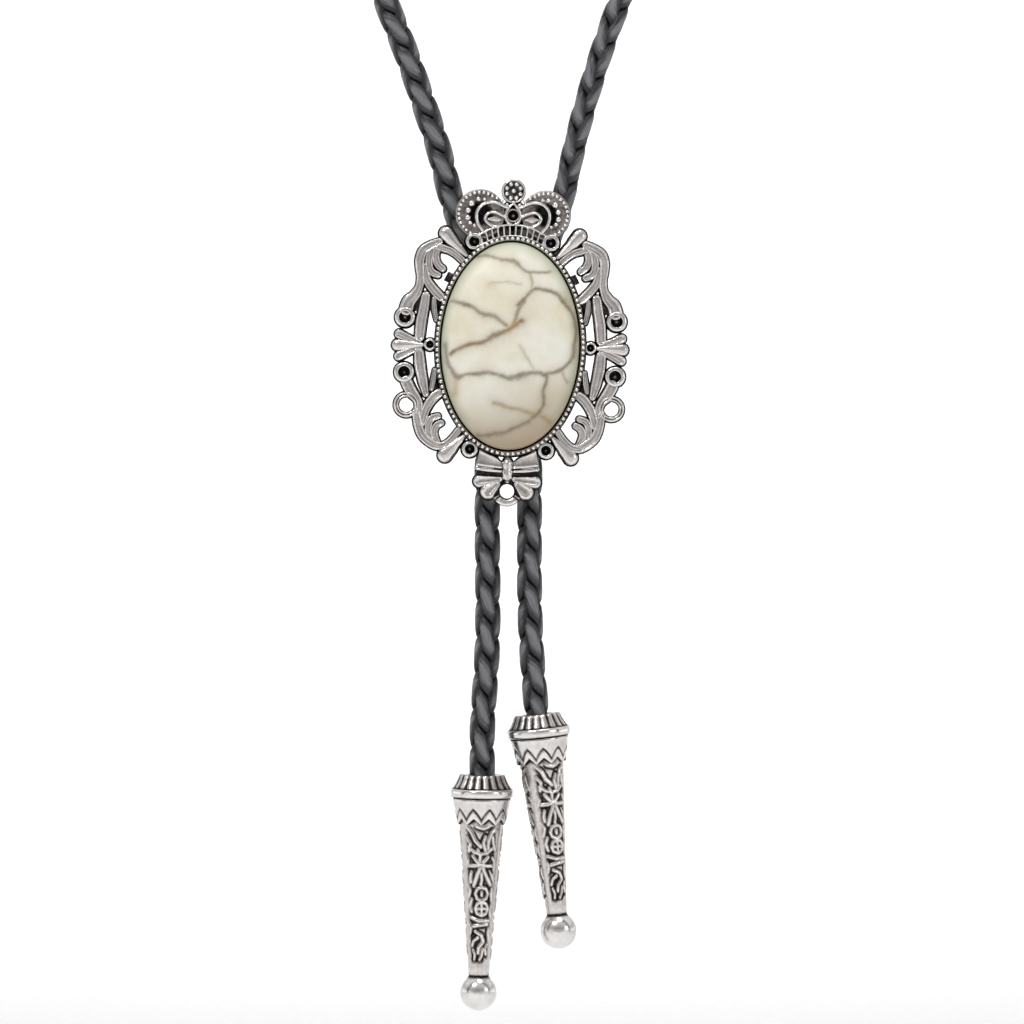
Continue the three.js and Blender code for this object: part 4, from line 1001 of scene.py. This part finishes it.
class BOLO_OT_stone(bpy.types.Operator):
    """Cuts the domed stone and lays its veins"""
    bl_idname = "bolo.stone"
    bl_label = "Stone"

    def execute(self, context):
        size = context.scene.bolo_stone
        base = context.scene.bolo_slide.floor + GAP
        bm = bmesh.new()
        layers = {name: bm.verts.layers.float.new(name) for name in ("vein", "ochre", "rim", "low")}
        made = bmesh.ops.create_grid(bm, x_segments=120, y_segments=150, size=1.0)["verts"]
        square = np.array([v.co[:2] for v in made])
        x = square[:, 0] * np.sqrt(1 - square[:, 1] ** 2 / 2)
        y = square[:, 1] * np.sqrt(1 - square[:, 0] ** 2 / 2)
        reach = np.clip(np.hypot(x, y), 0, 1)
        spots = np.stack([x * size.half_width, y * size.half_height], axis=1)
        heights = base + size.girdle + (size.depth - size.girdle) * np.sqrt(1 - reach ** 2)
        wander = sum(np.array([[noise.noise((p[0] * pitch, p[1] * pitch, seed)) * far for seed in seeds]
                               for p in spots]) for pitch, far, seeds in WANDER)
        vein, ochre = np.zeros(len(spots)), np.zeros(len(spots))
        for half_width, strength, stain, way in VEINS:
            line = smooth_way(way)
            field = stroke_field(spots + wander, line, half_width * 1.15)
            halo = stroke_field(spots + wander, line, half_width * 3.2)
            vein = np.maximum(vein, strength * (0.78 * field + 0.22 * halo))
            ochre = np.maximum(ochre, stain * (0.45 * field + 0.25 * halo))
        rim = np.clip((reach - 0.86) / 0.14, 0, 1) ** 1.3 * 0.8
        # low is painted shade: it grows towards the stone's lower right, away from the light
        low = np.clip((-spots[:, 1] - 5.0 + 0.25 * spots[:, 0]) / 14.0, 0, 1) ** 1.2
        for vert, spot, height, *values in zip(made, spots, heights, vein, ochre, rim, low):
            vert.co = (spot[0], spot[1], height)
            for layer, value in zip(layers.values(), values):
                vert[layer] = float(value)
        walls = bmesh.ops.extrude_edge_only(bm, edges=[e for e in bm.edges if e.is_boundary])["geom"]
        for vert in only_verts(walls):
            vert.co.z = base
        capped(bm, walls)
        finished(bm, "stone", named_material("howlite_polished", howlite, size), "cabochon",
                 slide_matrix())
        return {"FINISHED"}


class BOLO_OT_clip(bpy.types.Operator):
    """Plates the hidden clip behind the slide"""
    bl_idname = "bolo.clip"
    bl_label = "Clip"

    def execute(self, context):
        clips = [o for o in bpy.data.objects if o.type == "MESH" and o.name.startswith("back_clip")]
        if not clips:
            raise RuntimeError("the frame has no back_clip")
        for clip in clips:
            for slot in clip.material_slots:
                slot.material = named_material("nickel_plated_steel", nickel_plate)
        return {"FINISHED"}


# A tip's outline from its mouth: depth and radius in mm, relief, and the share of the flutes
TIP_ROWS = [
    (0.00, 4.20, 0.30, 0.3), (0.10, 4.45, 0.70, 0.8), (0.60, 4.62, 0.62, 1), (1.20, 4.88, 0.62, 1),
    (1.80, 5.20, 0.62, 1), (2.30, 5.50, 0.55, 0.9), (2.50, 5.55, 0.10, 0.4), (2.56, 5.55, 0.00, 0),
    (2.62, 5.75, 0.20, 0), (2.78, 6.00, 0.80, 0), (3.10, 6.10, 1.00, 0), (3.45, 6.10, 0.96, 0),
    (3.80, 6.10, 0.92, 0), (4.08, 6.02, 0.75, 0), (4.24, 5.80, 0.30, 0), (4.32, 5.50, 0.00, 0),
    (4.50, 5.48, 0.05, 0), (4.62, 5.60, 0.75, 0), (4.90, 5.56, 0.85, 0), (5.30, 5.48, 0.80, 0),
]
TIP_TAIL = [
    (36.5, 2.05, 0.62), (37.4, 2.02, 0.78), (38.0, 1.98, 0.70), (38.35, 1.92, 0.15), (38.5, 1.90, 0.0),
]
# Strokes of a panel: width in mm, and the way in mm across and down from the mouth
PANEL_STROKES = [
    (0.30, [(-0.85, 9.66), (0.5, 10.0), (1.4, 9.66), (2.2, 9.1)]),
    (0.34, [(-3.1, 9.7), (-1.95, 10.8), (-1.2, 12.3), (0, 13.5)]),
    (0.34, [(3.3, 10.2), (2.2, 10.8), (1.6, 12.3), (1.45, 13.8)]),
    (0.28, [(0.9, 11.6), (0.5, 12.7), (0.9, 14.2)]),
    (0.26, [(-2.6, 13.6), (-1.3, 14.6), (0, 14.9), (1.3, 14.7), (2.4, 13.9)]),
    (0.30, [(0, 16.9), (-1.2, 17.2), (-2.4, 17.2)]), (0.30, [(0, 16.9), (-0.9, 16.2), (-1.6, 15.3)]),
    (0.30, [(0, 16.9), (0.8, 16.3), (1.5, 15.5)]), (0.30, [(0, 16.9), (1.2, 17.2), (2.4, 17.2)]),
    (0.34, [(-0.1, 17.6), (-0.7, 19.1), (-1.3, 21.0)]), (0.30, [(-1.9, 18.4), (-2.1, 19.4), (-2.0, 20.3)]),
    (0.34, [(0.5, 17.6), (1.4, 19.5), (2.1, 20.8)]),
    (0.26, [(1.6, 22.55), (1.22, 23.47), (0.3, 23.85), (-0.62, 23.47), (-1.0, 22.55), (-0.62, 21.63),
            (0.3, 21.25), (1.22, 21.63), (1.6, 22.55)]),
    (0.24, [(0.3, 22.2), (0.3, 22.9)]),
    (0.26, [(1.65, 25.4), (1.27, 26.32), (0.35, 26.7), (-0.57, 26.32), (-0.95, 25.4), (-0.57, 24.48),
            (0.35, 24.1), (1.27, 24.48), (1.65, 25.4)]),
    (0.22, [(-0.6, 25.4), (1.3, 25.4)]), (0.22, [(0.35, 24.5), (0.35, 26.4)]),
    (0.28, [(-1.9, 27.1), (-0.2, 27.7), (1.85, 27.7)]), (0.28, [(-1.3, 28.8), (-0.1, 28.6), (1.6, 28.4)]),
    (0.28, [(-0.9, 29.8), (0.4, 30.5), (0.85, 31.7), (-0.1, 32.8), (-0.25, 33.9)]),
    (0.24, [(0.75, 33.2), (0.5, 34.4), (0.1, 35.2)]),
    (0.28, [(-3.0, 11.9), (-2.2, 13.0), (-2.5, 14.4)]), (0.28, [(2.5, 11.6), (2.6, 12.9), (3.1, 14.2)]),
    (0.26, [(-0.6, 14.1), (-0.1, 15.3), (-0.2, 16.4)]), (0.26, [(-3.2, 15.4), (-2.7, 16.3), (-3.3, 17.6)]),
    (0.26, [(2.5, 15.7), (3.1, 16.5), (2.9, 18.0)]), (0.26, [(0.2, 18.6), (0.3, 19.8), (0.1, 20.8)]),
    (0.26, [(-2.7, 20.6), (-2.1, 21.8), (-2.4, 23.2)]), (0.26, [(2.5, 21.6), (2.3, 22.7), (2.5, 23.9)]),
    (0.26, [(-1.7, 23.6), (-2.1, 24.8), (-1.7, 26.0)]), (0.24, [(2.4, 24.9), (2.1, 26.0), (2.3, 26.9)]),
    (0.24, [(-2.2, 28.2), (-1.8, 29.2), (-2.0, 30.2)]), (0.24, [(1.9, 29.3), (1.8, 30.4), (2.0, 31.4)]),
    (0.24, [(-0.3, 31.0), (-1.2, 31.6), (-1.5, 32.6)]), (0.22, [(1.6, 32.3), (1.2, 33.2), (1.4, 34.2)]),
    (0.22, [(-1.3, 33.4), (-0.9, 34.3), (-1.0, 35.2)]),
]
PANELS, PANEL_HALF_ANGLE = 3, math.radians(46)
CONE_TOP, CONE_TOP_RADIUS, CONE_FOOT, CONE_FOOT_RADIUS = 9.5, 4.2, 38.2, 1.96
SKIRT_TOP, SKIRT_TOP_RADIUS, SKIRT_FOOT, SKIRT_FOOT_RADIUS = 5.3, 5.48, 8.7, 4.83
PANEL_FOOT, ROW_PITCH, SKIRT_ROWS, BALL_ROWS = 36.3, 0.24, 14, 21
FLUTE_DEPTH, GROOVE_DEPTH, GROUND_DEPTH, VINE_HEIGHT = 0.32, 0.26, 0.22, 0.16
STROKE_SHARE, GROUND_REACH = 0.88, 0.8


def tip_surface(size):
    """Rows of a tip as (depth, radius, relief) functions of the turn, from the mouth down to the ball."""
    turns = np.linspace(0, 2 * math.pi, 133)[:-1]
    flute = np.abs(np.sin(turns * size.flutes / 2))
    zigzag = 2 * np.abs(((turns * size.teeth / (2 * math.pi)) % 1) * 2 - 1) - 1
    rows = []

    def row(depth, radius, shine):
        rows.append((depth + 0 * turns, radius + 0 * turns, np.clip(shine + 0 * turns, 0, 1)))
    for depth, radius, shine, fluted in TIP_ROWS:
        row(depth, radius - FLUTE_DEPTH * fluted * (1 - flute),
            shine - 0.62 * fluted * (1 - flute) ** 0.8 + 0.3 * fluted * flute ** 4)
    for step in range(1, SKIRT_ROWS + 1):
        down = step / SKIRT_ROWS
        depth = SKIRT_TOP + (SKIRT_FOOT - SKIRT_TOP) * down
        radius = SKIRT_TOP_RADIUS + (SKIRT_FOOT_RADIUS - SKIRT_TOP_RADIUS) * down
        edge = depth + 0.6 * zigzag * down ** 2
        groove = np.exp(-((depth - 7.3 - 0.8 * zigzag) / 0.34) ** 2)
        row(edge, radius - GROOVE_DEPTH * groove, 0.74 - 0.85 * groove + 0.2 * down)
    row(SKIRT_FOOT + 0.66 * zigzag + 0.12, SKIRT_FOOT_RADIUS - 0.25, 0.35)
    row(SKIRT_FOOT + 0.66 * zigzag + 0.16, CONE_TOP_RADIUS + 0.02, 0.0)
    panel = (turns + math.pi / PANELS) % (2 * math.pi / PANELS) - math.pi / PANELS
    inside = 1 / (1 + np.exp((np.abs(panel) - PANEL_HALF_ANGLE) / 0.045))
    for depth in np.arange(CONE_TOP, PANEL_FOOT, ROW_PITCH):
        down = (depth - CONE_TOP) / (CONE_FOOT - CONE_TOP)
        radius = CONE_TOP_RADIUS + (CONE_FOOT_RADIUS - CONE_TOP_RADIUS) * down
        spots = np.stack([panel * radius, np.full(len(turns), depth)], axis=1)
        stroke, near = np.zeros(len(turns)), np.zeros(len(turns))
        for width, way in PANEL_STROKES:
            if min(p[1] for p in way) - 1 < depth < max(p[1] for p in way) + 1:
                stroke = np.maximum(stroke, stroke_field(spots, way, STROKE_SHARE * width))
                near = np.maximum(near, stroke_field(spots, way, GROUND_REACH))
        ends = min(1.0, (depth - CONE_TOP + 0.2) / 0.5, (PANEL_FOOT - depth) / 0.9)
        field = inside * ends * np.clip((near - 0.25) / 0.3, 0, 1)
        row(depth, radius - GROUND_DEPTH * field * (1 - stroke) + VINE_HEIGHT * stroke * field,
            0.72 * (1 - field) + field * (0.04 + 0.96 * stroke ** 0.8))
    for depth, radius, shine in TIP_TAIL:
        row(depth, radius, shine)
    ball = size.ball_radius
    centre = size.length - ball
    for step in range(1, BALL_ROWS + 1):
        turn = math.pi * (0.17 + 0.825 * step / BALL_ROWS)
        row(centre - ball * math.cos(turn), ball * math.sin(turn), 0.35 if step < 2 else 0.86)
    return turns, rows


class BOLO_OT_tips(bpy.types.Operator):
    """Casts the two tips: fluted collar, rolled ring, toothed skirt, cone with vines, and ball"""
    bl_idname = "bolo.tips"
    bl_label = "Tips"

    def execute(self, context):
        size = context.scene.bolo_tip
        for name, (side, across, drop, lean, _) in TAILS.items():
            turns, rows = tip_surface(size)
            bore = [(SOCKET, 0.03, 0.0), (SOCKET, 2.8, 0.0), (4.0, 2.8, 0.05), (0.3, 2.8, 0.3),
                    (0.0, 2.95, 0.6)]
            rows = [tuple(np.full(len(turns), value) for value in entry) for entry in bore] + rows
            facing = math.radians(-90 if name == "left" else -66)
            bm = bmesh.new()
            relief = relief_layer(bm)
            grid = bmesh.ops.create_grid(bm, x_segments=len(turns), y_segments=len(rows) - 1, size=1.0)
            for vert in grid["verts"]:
                u = round((vert.co.x + 1) / 2 * len(turns)) % len(turns)
                v = round((vert.co.y + 1) / 2 * (len(rows) - 1))
                depth, radius, shine = (field[u] for field in rows[v])
                turn = turns[u] + facing
                vert.co = (radius * math.cos(turn), radius * math.sin(turn), -depth)
                vert[relief] = float(shine)
            bmesh.ops.remove_doubles(bm, verts=[v for v in bm.verts if v.is_boundary], dist=1e-5)
            bmesh.ops.holes_fill(bm, edges=[e for e in bm.edges if e.is_boundary], sides=0)
            mouth = route_point(side * across * CLIP_HALF_PITCH, 0, -drop) * MM
            tip = cast(bm, f"tip_{name}_cast", f"tip_{name}",
                       Matrix.Translation(mouth) @ Matrix.Rotation(math.radians(-lean), 4, "Y"))
        return {"FINISHED"}


# The stage, in metres
FLOOR, WALL, BEND, FRONT, WALL_HEIGHT, STAGE_HALF_WIDTH = -0.46, 2.6, 0.35, -2.6, 3.2, 3.2
BEND_STEPS = 12
# Lamps: name, place, power in watts, size, and what each is aimed at
TIE_MIDDLE = (0, -0.125, -0.26)
LAMPS = [
    ("key", (-0.45, -0.70, 0.55), 3.6, 0.25, TIE_MIDDLE), ("fill", (0.85, -0.75, 0.0), 0.8, 0.3, TIE_MIDDLE),
    ("top", (0.1, -0.35, 0.70), 2.0, 0.35, TIE_MIDDLE),
    ("paper", (0.0, 1.5, 1.0), 22.0, 1.4, (0, WALL, -0.1)),
]


class BOLO_OT_stage(bpy.types.Operator):
    """Sets the white floor and backdrop, and soft light from lamps above and beside"""
    bl_idname = "bolo.stage"
    bl_label = "Stage"

    def execute(self, context):
        bm = bmesh.new()
        way = [(FRONT, 0.0), (WALL - BEND, 0.0)]
        way += [(WALL - BEND + BEND * math.sin(t), BEND - BEND * math.cos(t))
                for t in (math.pi / 2 * i / BEND_STEPS for i in range(1, BEND_STEPS + 1))]
        way.append((WALL, WALL_HEIGHT))
        verts = [bm.verts.new((-STAGE_HALF_WIDTH, y, FLOOR + z)) for y, z in way]
        edges = [bm.edges.new(pair) for pair in zip(verts, verts[1:])]
        made = bmesh.ops.extrude_edge_only(bm, edges=edges)["geom"]
        bmesh.ops.translate(bm, vec=(2 * STAGE_HALF_WIDTH, 0, 0), verts=only_verts(made))
        bmesh.ops.recalc_face_normals(bm, faces=bm.faces)
        if sum(f.normal.z for f in bm.faces) < 0:
            bmesh.ops.reverse_faces(bm, faces=bm.faces)
        mesh_object(bm, "backdrop", stage_paper())
        world = bpy.data.worlds.new("studio")
        world.use_nodes = True
        tree = world.node_tree
        where = add_node(tree, "ShaderNodeTexCoord").outputs["Generated"]
        parts = add_node(tree, "ShaderNodeSeparateXYZ", inputs={0: where}).outputs
        towards = add_node(tree, "ShaderNodeMapRange", inputs={
            "Value": parts["Y"], "From Min": -1.0, "From Max": 0.0})
        room = add_node(tree, "ShaderNodeValToRGB", inputs={"Fac": towards.outputs["Result"]}, stops=[
            (0.0, "B4B4B6"), (0.14, "C4C4C6"), (0.4, "E8E8E8"), (0.58, "E0E0E0"), (0.68, "6C6C6C"),
            (0.78, "787878"), (0.88, "FFFFFF")])
        above = add_node(tree, "ShaderNodeMapRange", inputs={
            "Value": parts["Z"], "From Min": 0.02, "From Max": 0.5})
        shade = add_node(tree, "ShaderNodeValToRGB", inputs={"Fac": above.outputs["Result"]}, stops=[
            (0.0, "FFFFFF"), (0.5, "A4A4A4"), (1.0, "CCCCCC")])
        both = add_node(tree, "ShaderNodeMix", {"data_type": "RGBA", "blend_type": "MULTIPLY"}, {
            0: 1.0, 6: room.outputs["Color"], 7: shade.outputs["Color"]})
        filled(tree, tree.nodes["Background"], {"Color": both.outputs[2], "Strength": 1.2})
        context.scene.world = world
        context.scene.view_settings.view_transform = "Standard"
        for name, spot, power, wide, aim in LAMPS:
            light = bpy.data.lights.new(name, "AREA")
            light.energy, light.size = power, wide
            lamp = bpy.data.objects.new(name, light)
            lamp.location = spot
            lamp.rotation_euler = (Vector(aim) - lamp.location).to_track_quat("-Z", "Y").to_euler()
            lamp.visible_camera = False
            context.scene.collection.objects.link(lamp)
        return {"FINISHED"}


class BOLO_PT_maker(bpy.types.Panel):
    """Lists the sizes and the makers of the tie's pieces"""
    bl_idname = "BOLO_PT_maker"
    bl_label = "Bolo Tie"
    bl_space_type = "VIEW_3D"
    bl_region_type = "UI"
    bl_category = "Bolo Tie"

    def draw(self, context):
        for operator in OPERATORS:
            self.layout.operator(operator.bl_idname)
        for name, group in SETTINGS.items():
            box = self.layout.box()
            for field in group.__annotations__:
                box.prop(getattr(context.scene, name), field)


OPERATORS = [BOLO_OT_camera, BOLO_OT_cords, BOLO_OT_bezel, BOLO_OT_crown, BOLO_OT_scrollwork, BOLO_OT_bow,
             BOLO_OT_stone, BOLO_OT_clip, BOLO_OT_tips, BOLO_OT_stage]
CLASSES = [*SETTINGS.values(), *OPERATORS, BOLO_PT_maker]


def register():
    for cls in CLASSES:
        bpy.utils.register_class(cls)
    for name, group in SETTINGS.items():
        setattr(bpy.types.Scene, name, PointerProperty(type=group))


def unregister():
    for name in SETTINGS:
        delattr(bpy.types.Scene, name)
    for cls in reversed(CLASSES):
        bpy.utils.unregister_class(cls)


def main():
    register()
    for operator in OPERATORS:
        group, name = operator.bl_idname.split(".")
        getattr(getattr(bpy.ops, group), name)()


if __name__ == "__main__":
    main()
